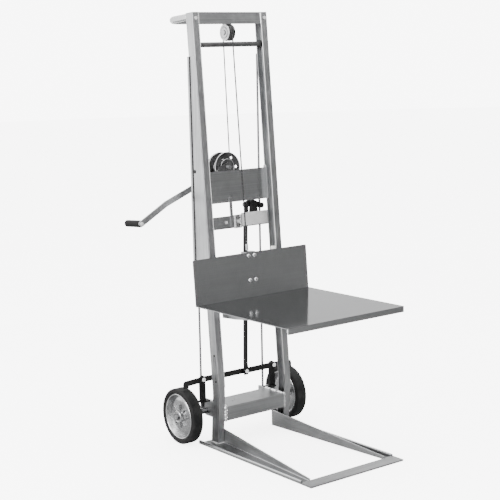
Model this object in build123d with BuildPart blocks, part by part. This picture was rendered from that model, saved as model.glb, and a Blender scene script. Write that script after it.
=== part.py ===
from build123d import *
import os
from math import cos, radians, sin

# Winch lift truck: leaning channel mast, hand winch, sliding platform, two braked wheels, floor frame
# Millimetres, +X right, -Y front, +Z up; drawn from the floor under the uprights' front faces,
# then moved so that the origin is on the floor at the middle of the toe bar
# Mast pieces are drawn upright as (x, depth behind the front face, height) and tipped back by LEAN

# Mast
LEAN = 3.6
MAST_WIDTH = 325.0
MAST_TOP = 1540.0
CHANNEL_DEPTH = 42.0
CHANNEL_FLANGE = 25.0
CHANNEL_WALL = 3.0
FOOT_BEND_HEIGHT = 190.0
FOOT_KICK = 30.0
FOOT_END_HEIGHT = 5.4
FOOT_RADIUS = 260.0
WEB_HOLES = (235.0, 330.0)
RUN_GAP = 0.5
FIT_GAP = 0.3

# Top crossbar and push handle
TOP_BAR_HEIGHT = 42.0
TOP_BAR_DEPTH = 34.0
SHEET = 3.0
HANDLE_DIAMETER = 25.0
HANDLE_WALL = 2.0
HANDLE_REACH = 130.0
HANDLE_BEND = 45.0
HANDLE_DROP = 13.0
SPREADER_GAP = 3.0
SPREADER_DIAMETER = 18.0
COLLAR_DIAMETER = 30.0
COLLAR_LENGTH = 9.0

# Rear plates on the mast
WINCH_PLATE_HEIGHT = 114.0
WINCH_FLANGE = 17.0
WINCH_FLANGE_RISE = 8.0
CROSSBAR_DROP = 49.0
CROSSBAR_HEIGHT = 45.0
CROSSBAR_THICK = 5.0
STRAP_X = -26.0
STRAP_WIDTH = 12.0
GUARD_THICK = 1.5
GUARD_DROP = 150.0
GUARD_LOW = 600.0
GUARD_TOP_REAR = 46.0
GUARD_LOW_REAR = 104.0
HEM_WIDTH = 12.0
HEM_STEP = 2.5
ROD_DIAMETER = 8.0
ROD_X = 142.0
ROD_LOW_Y = 158.0

# Lifting gear
CABLE_DIAMETER = 5.0
CABLE_SIDES = 8
PULLEY_DROP = 70.0
PULLEY_DEPTH = 24.0
PULLEY_RADIUS = 30.0
PULLEY_GROOVE_RADIUS = 25.0
PULLEY_WIDTH = 15.0
PIN_DIAMETER = 10.0
SHAFT_GAP = 0.05
CHEEK = 3.0
CHEEK_WIDTH = 26.0

# Winch
DRUM_X = -20.0
DRUM_HEIGHT = 993.0
DRUM_RISE = 12.0
DRUM_FLANGE_RADIUS = 55.0
DRUM_HUB_RADIUS = 22.5
DRUM_LENGTH = 46.0
DRUM_START = 53.0
WIND_RADIUS = 30.0
GEAR_MODULE = 2.0
GEAR_TEETH = 52
PINION_TEETH = 12
GEAR_BACKLASH = 0.35
GEAR_WIDTH = 8.0
WINCH_CHEEK = 4.0
SHAFT_DIAMETER = 14.0
PINION_ANGLE = 222.0
RATCHET_RADIUS = 19.0
RATCHET_TEETH = 10
RATCHET_WIDTH = 5.0
CRANK_BEND = (-178.0, -70.0)
CRANK_END = (-286.0, -130.0)
CRANK_WIDTH = 20.0
CRANK_THICK = 6.0
GRIP_LENGTH = 92.0
GRIP_DIAMETER = 25.0

# Carriage and platform
PLATFORM_WIDTH = 508.0
PLATFORM_DEPTH = 508.0
PLATFORM_Z = 526.0
PLATFORM_SHEET = 3.0
BACK_HEIGHT = 160.0
BACK_FRONT = -28.0
LIP_HEIGHT = 20.0
SLIDE_LOW = 548.0
SLIDE_HEIGHT = 142.0
CARRIAGE_PLATE_DEPTH = 14.0
CARRIAGE_PLATE = 8.0
ARM_X = 112.0
ARM_THICK = 8.0
ARM_REACH = 400.0
ARM_DROP = 62.0
ANCHOR_WIDTH = 40.0
ANCHOR_HIGH = 688.0
ANCHOR_LOW = 572.0

# Wheels and axle
WHEEL_RADIUS = 101.6
TYRE_SECTION = 18.6
WHEEL_WIDTH = 44.0
WHEEL_TRACK = 478.0
AXLE_Y = 140.0
AXLE_DIAMETER = 16.0
BEARING_OUTER = 32.0
BEARING_LENGTH = 12.0
BOSS_RADIUS = 24.0
DISC_THICK = 9.0
RIM_HALF = 18.0
RIBS = 8
RIB_REACH = 42.0
RIB_HALF = 15.0

# Floor frame
RAIL_OUTER = 205.0
RAIL_INNER_REAR = 133.0
RAIL_INNER_FRONT = 168.0
RAIL_REAR_Y = 92.0
RAIL_FRONT_Y = -540.0
RAIL_WALL = 3.0
RAIL_LIP = 10.0
RAIL_TALL = 60.0
TOE_DEPTH = 52.0
TOE_THICK = 6.0
COVER_FRONT_Y = 12.0
COVER_REAR_Y = 124.0
COVER_TOP_Z = 140.0
COVER_FACE = 52.0
BRACKET_THICK = 8.0

# Brake
BRAKE_Y = 110.0
BRAKE_LINK_X = 28.0
BRAKE_EYE_X = 51.0
BRAKE_TUBE = 17.0
LEVER_THICK = 5.0
LEVER_WIDTH = 20.0
LEVER_PIVOT_X = 160.0
LEVER_PIVOT_Z = 226.0
ROCKER_ARM = 29.0
ROCKER_RISE = 28.0
ROCKER_GRIP = 40.0
ROCKER_THICK = 7.0
PAD_GAP = 4.2
POST_WIDTH = 26.0
POST_THICK = 6.0
BOLT_HEAD = 5.0
CORNER_RADIUS = 5.0

HALF = MAST_WIDTH / 2
INNER = HALF - CHANNEL_WALL
OPENING = HALF - CHANNEL_FLANGE
PULLEY_CENTRE_HEIGHT = MAST_TOP - PULLEY_DROP
SPREADER_HEIGHT = PULLEY_CENTRE_HEIGHT - PULLEY_RADIUS - SPREADER_GAP - SPREADER_DIAMETER / 2
GUARD_HIGH = MAST_TOP - GUARD_DROP
ROD_TOP_Z = MAST_TOP - GUARD_DROP
WINCH_PLATE_HIGH = DRUM_HEIGHT - DRUM_RISE
WINCH_PLATE_LOW = WINCH_PLATE_HIGH - WINCH_PLATE_HEIGHT
CROSSBAR_HIGH = WINCH_PLATE_LOW - CROSSBAR_DROP
CROSSBAR_LOW = CROSSBAR_HIGH - CROSSBAR_HEIGHT
BRAKE_EYE_Z = CROSSBAR_HIGH + ROCKER_RISE
ROCKER_PIVOT_X = BRAKE_EYE_X + ROCKER_ARM
ROCKER_PIVOT_Z = BRAKE_EYE_Z + 4.0
WIND = WIND_RADIUS - CABLE_DIAMETER / 2
PULLEY_LINE = PULLEY_GROOVE_RADIUS + CABLE_DIAMETER / 2
GEAR_RADIUS = GEAR_MODULE * GEAR_TEETH / 2
PINION_RADIUS = GEAR_MODULE * PINION_TEETH / 2
GEAR_DISTANCE = GEAR_RADIUS + PINION_RADIUS + GEAR_BACKLASH
PINION_X = DRUM_X + GEAR_DISTANCE * cos(radians(PINION_ANGLE))
PINION_HEIGHT = DRUM_HEIGHT + GEAR_DISTANCE * sin(radians(PINION_ANGLE))
DRUM_END = DRUM_START + DRUM_LENGTH
GEAR_START = DRUM_END + 1.0
FRONT_CHEEK = CHANNEL_DEPTH + SHEET
REAR_CHEEK = GEAR_START + GEAR_WIDTH + 2.0
RATCHET_START = REAR_CHEEK + WINCH_CHEEK + 2.0
CRANK_START = RATCHET_START + RATCHET_WIDTH + 5.0
TREAD_CENTRE = WHEEL_TRACK / 2


def tipped(depth, height):
    """World Y and Z of a mast point given by its depth and height."""
    a = radians(LEAN)
    return depth * cos(a) + height * sin(a), height * cos(a) - depth * sin(a)


def save(piece, label, leaning=False):
    """Tip a mast piece, move the origin under the toe bar's middle and write one labelled STEP file."""
    part = piece.rotate(Axis.X, -LEAN) if leaning else piece
    part = part.moved(Location((0, -RAIL_FRONT_Y - TOE_DEPTH / 2, 0)))
    part.label = label
    export_step(part, f"parts/{label}.step")


def block(x0, x1, y0, y1, z0, z1):
    """Add or cut a box between two corners."""
    with BuildPart(mode=Mode.PRIVATE) as made:
        with Locations(((x0 + x1) / 2, (y0 + y1) / 2, (z0 + z1) / 2)):
            Box(x1 - x0, y1 - y0, z1 - z0)
    return made.part


def rod_x(radius, x0, x1, y, z):
    """Round bar along X."""
    with BuildPart(mode=Mode.PRIVATE) as made:
        with Locations(((x0 + x1) / 2, y, z)):
            Cylinder(radius, x1 - x0, rotation=(0, 90, 0))
    return made.part


def rod_y(radius, y0, y1, x, z):
    """Round bar along Y."""
    with BuildPart(mode=Mode.PRIVATE) as made:
        with Locations((x, (y0 + y1) / 2, z)):
            Cylinder(radius, y1 - y0, rotation=(90, 0, 0))
    return made.part


def bolt_y(x, z, y_seat):
    """Hexagon head that sits on a face at y_seat."""
    with BuildPart(mode=Mode.PRIVATE) as made:
        with BuildSketch(Plane((x, y_seat, z), x_dir=(1, 0, 0), z_dir=(0, -1, 0))):
            RegularPolygon(BOLT_HEAD * 1.3, 6)
        extrude(amount=BOLT_HEAD)
    return made.part


os.makedirs("parts", exist_ok=True)

# Upright channels with the web outside, kicked back near the floor
for side, label in ((-1, "left_upright"), (1, "right_upright")):
    with BuildPart() as upright:
        with BuildLine():
            FilletPolyline(
                (0, 0, MAST_TOP),
                (0, 0, FOOT_BEND_HEIGHT),
                (0, FOOT_KICK, FOOT_END_HEIGHT),
                radius=FOOT_RADIUS,
            )
        with BuildSketch(Plane((0, 0, MAST_TOP), x_dir=(1, 0, 0), z_dir=(0, 0, -1))):
            with Locations((side * (HALF - CHANNEL_FLANGE / 2), -CHANNEL_DEPTH / 2)):
                Rectangle(CHANNEL_FLANGE, CHANNEL_DEPTH)
            with Locations((side * (OPENING + (CHANNEL_FLANGE - CHANNEL_WALL) / 2), -CHANNEL_DEPTH / 2)):
                Rectangle(CHANNEL_FLANGE - CHANNEL_WALL, CHANNEL_DEPTH - 2 * CHANNEL_WALL,
                          mode=Mode.SUBTRACT)
        sweep()
        with Locations(*((side * HALF, CHANNEL_DEPTH * 0.4, h) for h in WEB_HOLES)):
            Cylinder(3.0, 4 * CHANNEL_WALL, rotation=(0, 90, 0), mode=Mode.SUBTRACT)
    save(upright.part, label, leaning=True)

# Top crossbar: an angle behind the front flanges
TOP_BAR_FACE = CHANNEL_WALL
with BuildPart() as top_crossbar:
    with BuildSketch(Plane.YZ.offset(-INNER)):
        with BuildLine():
            Polyline(
                (TOP_BAR_FACE, MAST_TOP - TOP_BAR_HEIGHT),
                (TOP_BAR_FACE, MAST_TOP),
                (TOP_BAR_FACE + TOP_BAR_DEPTH, MAST_TOP),
                (TOP_BAR_FACE + TOP_BAR_DEPTH, MAST_TOP - SHEET),
                (TOP_BAR_FACE + SHEET, MAST_TOP - SHEET),
                (TOP_BAR_FACE + SHEET, MAST_TOP - TOP_BAR_HEIGHT),
                close=True,
            )
        make_face()
    extrude(amount=2 * INNER)
save(top_crossbar.part, "top_crossbar", leaning=True)

# Push handle: one tube bent into a U behind the mast top
HANDLE_HEIGHT = MAST_TOP - HANDLE_DROP
HANDLE_X = HALF - HANDLE_DIAMETER / 2
with BuildPart() as push_handle:
    with BuildLine():
        FilletPolyline(
            (-HANDLE_X, CHANNEL_DEPTH, HANDLE_HEIGHT),
            (-HANDLE_X, CHANNEL_DEPTH + HANDLE_REACH, HANDLE_HEIGHT),
            (HANDLE_X, CHANNEL_DEPTH + HANDLE_REACH, HANDLE_HEIGHT),
            (HANDLE_X, CHANNEL_DEPTH, HANDLE_HEIGHT),
            radius=HANDLE_BEND,
        )
    with BuildSketch(Plane((-HANDLE_X, CHANNEL_DEPTH, HANDLE_HEIGHT), x_dir=(1, 0, 0), z_dir=(0, 1, 0))):
        Circle(HANDLE_DIAMETER / 2)
        Circle(HANDLE_DIAMETER / 2 - HANDLE_WALL, mode=Mode.SUBTRACT)
    sweep()
save(push_handle.part, "push_handle", leaning=True)

# Spreader tube between the webs, with a collar at each end
SPREADER_DEPTH = CHANNEL_DEPTH / 2
with BuildPart() as spreader_tube:
    add(rod_x(SPREADER_DIAMETER / 2, -INNER, INNER, SPREADER_DEPTH, SPREADER_HEIGHT))
save(spreader_tube.part, "spreader_tube", leaning=True)
with BuildPart() as spreader_collars:
    for side in (-1, 1):
        x0, x1 = sorted((side * INNER, side * (INNER - COLLAR_LENGTH)))
        add(rod_x(COLLAR_DIAMETER / 2, x0, x1, SPREADER_DEPTH, SPREADER_HEIGHT))
    add(rod_x(SPREADER_DIAMETER / 2, -INNER, INNER, SPREADER_DEPTH, SPREADER_HEIGHT), mode=Mode.SUBTRACT)
save(spreader_collars.part, "spreader_collars", leaning=True)

# Winch plate across the rear flanges, its right flange turned forward beside the right channel
FLANGE_X = OPENING - 1.0
with BuildPart() as winch_plate:
    add(block(-HALF, HALF, CHANNEL_DEPTH, FRONT_CHEEK, WINCH_PLATE_LOW, WINCH_PLATE_HIGH))
    add(block(FLANGE_X - SHEET, FLANGE_X, CHANNEL_DEPTH - WINCH_FLANGE, CHANNEL_DEPTH,
              WINCH_PLATE_LOW, WINCH_PLATE_HIGH + WINCH_FLANGE_RISE))
    fillet(winch_plate.edges().filter_by(Axis.Z).group_by(Axis.Y)[0], SHEET / 3)
save(winch_plate.part, "winch_plate", leaning=True)

# Rear crossbar on the rear flanges
with BuildPart() as rear_crossbar:
    add(block(-HALF, HALF, CHANNEL_DEPTH, CHANNEL_DEPTH + CROSSBAR_THICK, CROSSBAR_LOW, CROSSBAR_HIGH))
save(rear_crossbar.part, "rear_crossbar", leaning=True)

# Tie strap from the winch plate down to the rear crossbar, in front of both
with BuildPart() as tie_strap:
    add(block(STRAP_X - STRAP_WIDTH / 2, STRAP_X + STRAP_WIDTH / 2, CHANNEL_DEPTH - SHEET, CHANNEL_DEPTH,
              CROSSBAR_LOW + 4, WINCH_PLATE_LOW + 18))
save(tie_strap.part, "tie_strap", leaning=True)

# Crank-side guard: a tapering sheet on the left web, its rear hem joggled outwards
GUARD_HOLE = (52.0, DRUM_HEIGHT - 5.0)
HEM_OUT = -HALF - GUARD_THICK - HEM_STEP
REAR_EDGE = (GUARD_LOW_REAR, GUARD_TOP_REAR)
FOLD_EDGE = (GUARD_LOW_REAR - HEM_WIDTH, GUARD_TOP_REAR - HEM_WIDTH)
RISER_EDGE = (FOLD_EDGE[0] + GUARD_THICK, FOLD_EDGE[1] + GUARD_THICK)


def side_sheet(x_face, thick, front, rear):
    """Sheet along the mast's side; front and rear give edge depths at its low and high ends."""
    with BuildPart(mode=Mode.PRIVATE) as made:
        with BuildSketch(Plane.YZ.offset(x_face)):
            with BuildLine():
                Polyline(
                    (front[0], GUARD_LOW),
                    (front[1], GUARD_HIGH),
                    (rear[1], GUARD_HIGH),
                    (rear[0], GUARD_LOW),
                    close=True,
                )
            make_face()
        extrude(amount=thick)
    return made.part


with BuildPart() as crank_guard:
    add(side_sheet(-HALF - GUARD_THICK, GUARD_THICK, (CHANNEL_WALL, CHANNEL_WALL), RISER_EDGE))
    add(side_sheet(HEM_OUT, HEM_STEP + GUARD_THICK, FOLD_EDGE, RISER_EDGE))
    add(side_sheet(HEM_OUT, GUARD_THICK, FOLD_EDGE, REAR_EDGE))
    with Locations((-HALF, GUARD_HOLE[0], GUARD_HOLE[1])):
        Cylinder(BOLT_HEAD, 8 * GUARD_THICK, rotation=(0, 90, 0), mode=Mode.SUBTRACT)
save(crank_guard.part, "crank_guard", leaning=True)

# Brace rods from the rear flanges to the axle brackets
ROD_TOP_Y = tipped(CHANNEL_DEPTH, ROD_TOP_Z / cos(radians(LEAN)))[0] + ROD_DIAMETER / 2 + 1.2
ROD_LOW_Z = WHEEL_RADIUS + 8.0
for side, label in ((-1, "left_brace_rod"), (1, "right_brace_rod")):
    top = Vector(side * ROD_X, ROD_TOP_Y, ROD_TOP_Z)
    low = Vector(side * ROD_X, ROD_LOW_Y, ROD_LOW_Z)
    with BuildPart() as brace_rod:
        with BuildSketch(Plane(low, x_dir=(1, 0, 0), z_dir=top - low)):
            Circle(ROD_DIAMETER / 2)
        extrude(amount=(top - low).length)
    save(brace_rod.part, label)

# Pulley bracket: a clevis hung from the top crossbar, with its pin and pulley
CHEEK_IN = PULLEY_WIDTH / 2 + 2.0
BRACKET_TOP = MAST_TOP - SHEET
with BuildPart() as pulley_bracket:
    add(block(-CHEEK_IN - CHEEK, CHEEK_IN + CHEEK, PULLEY_DEPTH - CHEEK_WIDTH / 2 + 4,
              PULLEY_DEPTH + CHEEK_WIDTH / 2, BRACKET_TOP - CHEEK, BRACKET_TOP))
    for x0 in (-CHEEK_IN - CHEEK, CHEEK_IN):
        with BuildSketch(Plane.YZ.offset(x0)):
            with BuildLine():
                Polyline(
                    (PULLEY_DEPTH - CHEEK_WIDTH / 2 + 4, BRACKET_TOP),
                    (PULLEY_DEPTH + CHEEK_WIDTH / 2, BRACKET_TOP),
                    (PULLEY_DEPTH + CHEEK_WIDTH / 2 - 3, PULLEY_CENTRE_HEIGHT),
                    (PULLEY_DEPTH - CHEEK_WIDTH / 2 + 4, PULLEY_CENTRE_HEIGHT),
                    close=True,
                )
            make_face()
            with Locations((PULLEY_DEPTH + 0.5, PULLEY_CENTRE_HEIGHT)):
                Circle(CHEEK_WIDTH / 2 - 3.5)
        extrude(amount=CHEEK)
    add(rod_x(PIN_DIAMETER / 2, -2 * CHEEK_IN, 2 * CHEEK_IN, PULLEY_DEPTH, PULLEY_CENTRE_HEIGHT),
        mode=Mode.SUBTRACT)
save(pulley_bracket.part, "pulley_bracket", leaning=True)
with BuildPart() as pulley_pin:
    add(rod_x(PIN_DIAMETER / 2, -CHEEK_IN - CHEEK, CHEEK_IN + CHEEK, PULLEY_DEPTH, PULLEY_CENTRE_HEIGHT))
    for x0, x1 in ((-CHEEK_IN - CHEEK - 5, -CHEEK_IN - CHEEK), (CHEEK_IN + CHEEK, CHEEK_IN + CHEEK + 5)):
        add(rod_x(PIN_DIAMETER * 0.8, x0, x1, PULLEY_DEPTH, PULLEY_CENTRE_HEIGHT))
save(pulley_pin.part, "pulley_pin", leaning=True)
with BuildPart() as pulley:
    with BuildSketch(Plane.XZ):
        with BuildLine():
            Polyline(
                (-PULLEY_WIDTH / 2 - 1.6, PIN_DIAMETER / 2 + SHAFT_GAP),
                (-PULLEY_WIDTH / 2 - 1.6, PIN_DIAMETER),
                (-PULLEY_WIDTH / 2 + 2, PIN_DIAMETER + 2),
                (-PULLEY_WIDTH / 2 + 2, PULLEY_GROOVE_RADIUS - 5),
                (-PULLEY_WIDTH / 2, PULLEY_GROOVE_RADIUS - 3),
                (-PULLEY_WIDTH / 2, PULLEY_RADIUS),
                (-CABLE_DIAMETER / 2 - 1.6, PULLEY_RADIUS),
                (-CABLE_DIAMETER / 2, PULLEY_GROOVE_RADIUS),
                (CABLE_DIAMETER / 2, PULLEY_GROOVE_RADIUS),
                (CABLE_DIAMETER / 2 + 1.6, PULLEY_RADIUS),
                (PULLEY_WIDTH / 2, PULLEY_RADIUS),
                (PULLEY_WIDTH / 2, PULLEY_GROOVE_RADIUS - 3),
                (PULLEY_WIDTH / 2 - 2, PULLEY_GROOVE_RADIUS - 5),
                (PULLEY_WIDTH / 2 - 2, PIN_DIAMETER + 2),
                (PULLEY_WIDTH / 2 + 1.6, PIN_DIAMETER),
                (PULLEY_WIDTH / 2 + 1.6, PIN_DIAMETER / 2 + SHAFT_GAP),
                close=True,
            )
        make_face()
    revolve(axis=Axis.X)
save(pulley.part.move(Location((0, PULLEY_DEPTH, PULLEY_CENTRE_HEIGHT))), "pulley", leaning=True)

# Lifting cable: over the pulley, down the back to the drum and down the front to the carriage
WRAP_LINE = PULLEY_LINE + FIT_GAP
with BuildPart() as cable_wrap:
    with BuildLine():
        CenterArc((0, 0, 0), WRAP_LINE, 0, 180)
    with BuildSketch(Plane((WRAP_LINE, 0, 0), x_dir=(1, 0, 0), z_dir=(0, 1, 0))):
        RegularPolygon(CABLE_DIAMETER / 2, CABLE_SIDES)
    sweep()
WRAP_PLACE = Plane((0, PULLEY_DEPTH, PULLEY_CENTRE_HEIGHT), x_dir=(0, 1, 0), z_dir=(1, 0, 0))
save(cable_wrap.part.moved(WRAP_PLACE.location), "cable_wrap", leaning=True)
REAR_TOP = Vector(0, PULLEY_DEPTH + WRAP_LINE, PULLEY_CENTRE_HEIGHT)
REAR_LOW = Vector(DRUM_X + WIND, DRUM_START + DRUM_LENGTH * 0.5, DRUM_HEIGHT)
REAR_RUN = REAR_LOW - REAR_TOP
LEAD_IN = 17.0
with BuildPart() as rear_cable:
    with BuildSketch(Plane(REAR_TOP + REAR_RUN.normalized() * RUN_GAP, x_dir=(1, 0, 0), z_dir=REAR_RUN)):
        Circle(CABLE_DIAMETER / 2 - FIT_GAP)
    extrude(amount=REAR_RUN.length - LEAD_IN)
save(rear_cable.part, "rear_cable", leaning=True)
FRONT_DEPTH = PULLEY_DEPTH - WRAP_LINE
with BuildPart() as front_cable:
    with BuildSketch(Plane.XY.offset(ANCHOR_HIGH)):
        with Locations((0, FRONT_DEPTH)):
            Circle(CABLE_DIAMETER / 2)
    extrude(amount=PULLEY_CENTRE_HEIGHT - ANCHOR_HIGH)
save(front_cable.part, "front_cable", leaning=True)


def gear_outline(teeth, phase):
    """Draw a spur gear outline with straight-sided teeth; phase is the angle of one tooth's middle."""
    pitch = 360.0 / teeth
    root = GEAR_MODULE * teeth / 2 - 1.2 * GEAR_MODULE
    tip = GEAR_MODULE * teeth / 2 + 0.85 * GEAR_MODULE
    corners = []
    for tooth in range(teeth):
        middle = phase + tooth * pitch
        for radius, share in ((root, -0.28), (tip, -0.1), (tip, 0.1), (root, 0.28)):
            angle = radians(middle + share * pitch)
            corners.append((radius * cos(angle), radius * sin(angle)))
    Polygon(*corners, align=None)


def face_plane(x, depth, height):
    """Plane square to the winch shafts, local x to the right and local y up, drawn towards the front."""
    return Plane((x, depth, height), x_dir=(1, 0, 0), z_dir=(0, -1, 0))


# Winch frame: two cheeks and a foot, bored for both shafts
HUB_START = RATCHET_START + RATCHET_WIDTH
HUB_END = CRANK_START + CRANK_THICK + 6.0
PAWL_X = PINION_X + 8.0
PAWL_HEIGHT = PINION_HEIGHT + 40.0
FOOT_HEIGHT = PINION_HEIGHT - 30.0
with BuildPart() as winch_frame:
    for start in (FRONT_CHEEK, REAR_CHEEK):
        with BuildSketch(face_plane(0, start + WINCH_CHEEK, 0)):
            with Locations((DRUM_X, DRUM_HEIGHT)):
                Circle(17)
            with Locations((PINION_X, PINION_HEIGHT)):
                Circle(16)
            with Locations((PAWL_X, PAWL_HEIGHT)):
                Circle(8)
            with Locations(((PINION_X + DRUM_X) / 2, FOOT_HEIGHT + 2)):
                Rectangle(DRUM_X - PINION_X + 34, 4)
            make_hull()
            with Locations((DRUM_X, DRUM_HEIGHT), (PINION_X, PINION_HEIGHT)):
                Circle(SHAFT_DIAMETER / 2 + SHAFT_GAP, mode=Mode.SUBTRACT)
        extrude(amount=WINCH_CHEEK)
    add(block(PINION_X - 17, DRUM_X + 17, FRONT_CHEEK, REAR_CHEEK + WINCH_CHEEK, FOOT_HEIGHT,
              FOOT_HEIGHT + 4))
    add(rod_y(4.0, REAR_CHEEK, HUB_START + 0.4, PAWL_X, PAWL_HEIGHT))
    add(rod_y(6.5, HUB_START + 0.4, HUB_START + 3.0, PAWL_X, PAWL_HEIGHT))
    add(rod_y(6.5, RATCHET_START - 2.0, RATCHET_START - 0.4, PAWL_X, PAWL_HEIGHT))
save(winch_frame.part, "winch_frame", leaning=True)

# Drum with two flanges, its wound cable, gear and shaft
with BuildPart() as winch_drum:
    add(rod_y(DRUM_HUB_RADIUS, DRUM_START, DRUM_END, DRUM_X, DRUM_HEIGHT))
    for start in (DRUM_START, DRUM_END - SHEET):
        add(rod_y(DRUM_FLANGE_RADIUS, start, start + SHEET, DRUM_X, DRUM_HEIGHT))
    add(rod_y(SHAFT_DIAMETER / 2, DRUM_START - 1, DRUM_END + 1, DRUM_X, DRUM_HEIGHT), mode=Mode.SUBTRACT)
    with Locations(face_plane(DRUM_X, DRUM_START, DRUM_HEIGHT).location):
        with PolarLocations(38.0, 6):
            Cylinder(5.0, 4 * SHEET, mode=Mode.SUBTRACT)
save(winch_drum.part, "winch_drum", leaning=True)
TURNS = int((DRUM_LENGTH - 2 * SHEET) / CABLE_DIAMETER)
TURNS_START = DRUM_START + SHEET + (DRUM_LENGTH - 2 * SHEET - TURNS * CABLE_DIAMETER) / 2
with BuildPart() as wound_cable:
    with BuildSketch(Plane.YZ):
        with Locations((TURNS_START + TURNS * CABLE_DIAMETER / 2, (DRUM_HUB_RADIUS + WIND) / 2)):
            Rectangle(TURNS * CABLE_DIAMETER, WIND - DRUM_HUB_RADIUS)
        for turn in range(TURNS):
            with Locations((TURNS_START + (turn + 0.5) * CABLE_DIAMETER, WIND)):
                RegularPolygon(CABLE_DIAMETER / 2, CABLE_SIDES)
    revolve(axis=Axis.Y)
save(wound_cable.part.move(Location((DRUM_X, 0, DRUM_HEIGHT))), "wound_cable", leaning=True)
with BuildPart() as drum_gear:
    with BuildSketch(face_plane(DRUM_X, GEAR_START + GEAR_WIDTH, DRUM_HEIGHT)):
        gear_outline(GEAR_TEETH, PINION_ANGLE + 180.0 / GEAR_TEETH)
        Circle(SHAFT_DIAMETER / 2, mode=Mode.SUBTRACT)
        with PolarLocations(32.0, 5):
            Circle(9.0, mode=Mode.SUBTRACT)
    extrude(amount=GEAR_WIDTH)
    with BuildSketch(face_plane(DRUM_X, GEAR_START, DRUM_HEIGHT)):
        Circle(DRUM_HUB_RADIUS)
        Circle(SHAFT_DIAMETER / 2, mode=Mode.SUBTRACT)
    extrude(amount=GEAR_START - DRUM_END)
save(drum_gear.part, "drum_gear", leaning=True)
with BuildPart() as drum_shaft:
    add(rod_y(SHAFT_DIAMETER / 2, CHANNEL_DEPTH - 4, REAR_CHEEK + WINCH_CHEEK + 3, DRUM_X, DRUM_HEIGHT))
save(drum_shaft.part, "drum_shaft", leaning=True)

# Crank shaft with the pinion cut on it, and the ratchet wheel
with BuildPart() as crank_shaft:
    add(rod_y(SHAFT_DIAMETER / 2, FRONT_CHEEK + FIT_GAP, HUB_END + 3, PINION_X, PINION_HEIGHT))
    with BuildSketch(face_plane(PINION_X, REAR_CHEEK - 1.0, PINION_HEIGHT)):
        gear_outline(PINION_TEETH, PINION_ANGLE + 180.0)
    extrude(amount=REAR_CHEEK - 1.0 - (GEAR_START - 0.4))
save(crank_shaft.part, "crank_shaft", leaning=True)
with BuildPart() as ratchet_wheel:
    with BuildSketch(face_plane(PINION_X, RATCHET_START + RATCHET_WIDTH, PINION_HEIGHT)):
        saw = []
        for tooth in range(RATCHET_TEETH):
            step = 360.0 / RATCHET_TEETH
            for radius, share in ((RATCHET_RADIUS, 0.0), (RATCHET_RADIUS - 4.5, 0.12)):
                angle = radians((tooth + share) * step)
                saw.append((radius * cos(angle), radius * sin(angle)))
        with BuildLine():
            Polyline(*saw, close=True)
        make_face()
        Circle(SHAFT_DIAMETER / 2, mode=Mode.SUBTRACT)
    extrude(amount=RATCHET_WIDTH)
save(ratchet_wheel.part, "ratchet_wheel", leaning=True)

# Pawl above the ratchet wheel, on the frame's pin
PAWL_TIP = (PINION_X - 6.0, PINION_HEIGHT + RATCHET_RADIUS + 1.0)
with BuildPart() as pawl:
    with BuildSketch(face_plane(0, RATCHET_START + RATCHET_WIDTH, 0)):
        with Locations((PAWL_X, PAWL_HEIGHT)):
            Circle(7.5)
        with Locations((PAWL_TIP[0], PAWL_TIP[1] + 1.5)):
            Circle(1.5)
        make_hull()
        with Locations((PAWL_X, PAWL_HEIGHT)):
            Circle(4.0 + SHAFT_GAP, mode=Mode.SUBTRACT)
    extrude(amount=RATCHET_WIDTH)
save(pawl.part, "pawl", leaning=True)

# Crank arm with one bend and a riveted pin, and the loose grip
BEND_X, BEND_HEIGHT = PINION_X + CRANK_BEND[0], PINION_HEIGHT + CRANK_BEND[1]
END_X, END_HEIGHT = PINION_X + CRANK_END[0], PINION_HEIGHT + CRANK_END[1]
GRIP_START = CRANK_START + CRANK_THICK + 1.0
with BuildPart() as crank_arm:
    for ends in (((PINION_X, PINION_HEIGHT), (BEND_X, BEND_HEIGHT)),
                 ((BEND_X, BEND_HEIGHT), (END_X, END_HEIGHT))):
        with BuildSketch(face_plane(0, CRANK_START + CRANK_THICK, 0)):
            with Locations(*ends):
                Circle(CRANK_WIDTH / 2)
            make_hull()
        extrude(amount=CRANK_THICK)
    add(rod_y(CRANK_WIDTH * 0.75, HUB_START, HUB_END, PINION_X, PINION_HEIGHT))
    add(rod_y(SHAFT_DIAMETER / 2, HUB_START - 1, HUB_END + 1, PINION_X, PINION_HEIGHT),
        mode=Mode.SUBTRACT)
    add(rod_y(PIN_DIAMETER / 2, CRANK_START, GRIP_START + GRIP_LENGTH + 0.4, END_X, END_HEIGHT))
    add(rod_y(PIN_DIAMETER * 0.8, GRIP_START + GRIP_LENGTH + 0.4, GRIP_START + GRIP_LENGTH + 3, END_X,
              END_HEIGHT))
save(crank_arm.part, "crank_arm", leaning=True)
with BuildPart() as crank_grip:
    with BuildSketch(face_plane(END_X, GRIP_START, END_HEIGHT)):
        Circle(GRIP_DIAMETER / 2)
        Circle(PIN_DIAMETER / 2 + SHAFT_GAP, mode=Mode.SUBTRACT)
    extrude(amount=-GRIP_LENGTH)
    rims = crank_grip.edges().filter_by(GeomType.CIRCLE)
    chamfer([rim for rim in rims if rim.radius > PIN_DIAMETER], 2.0)
save(crank_grip.part, "crank_grip", leaning=True)

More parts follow.
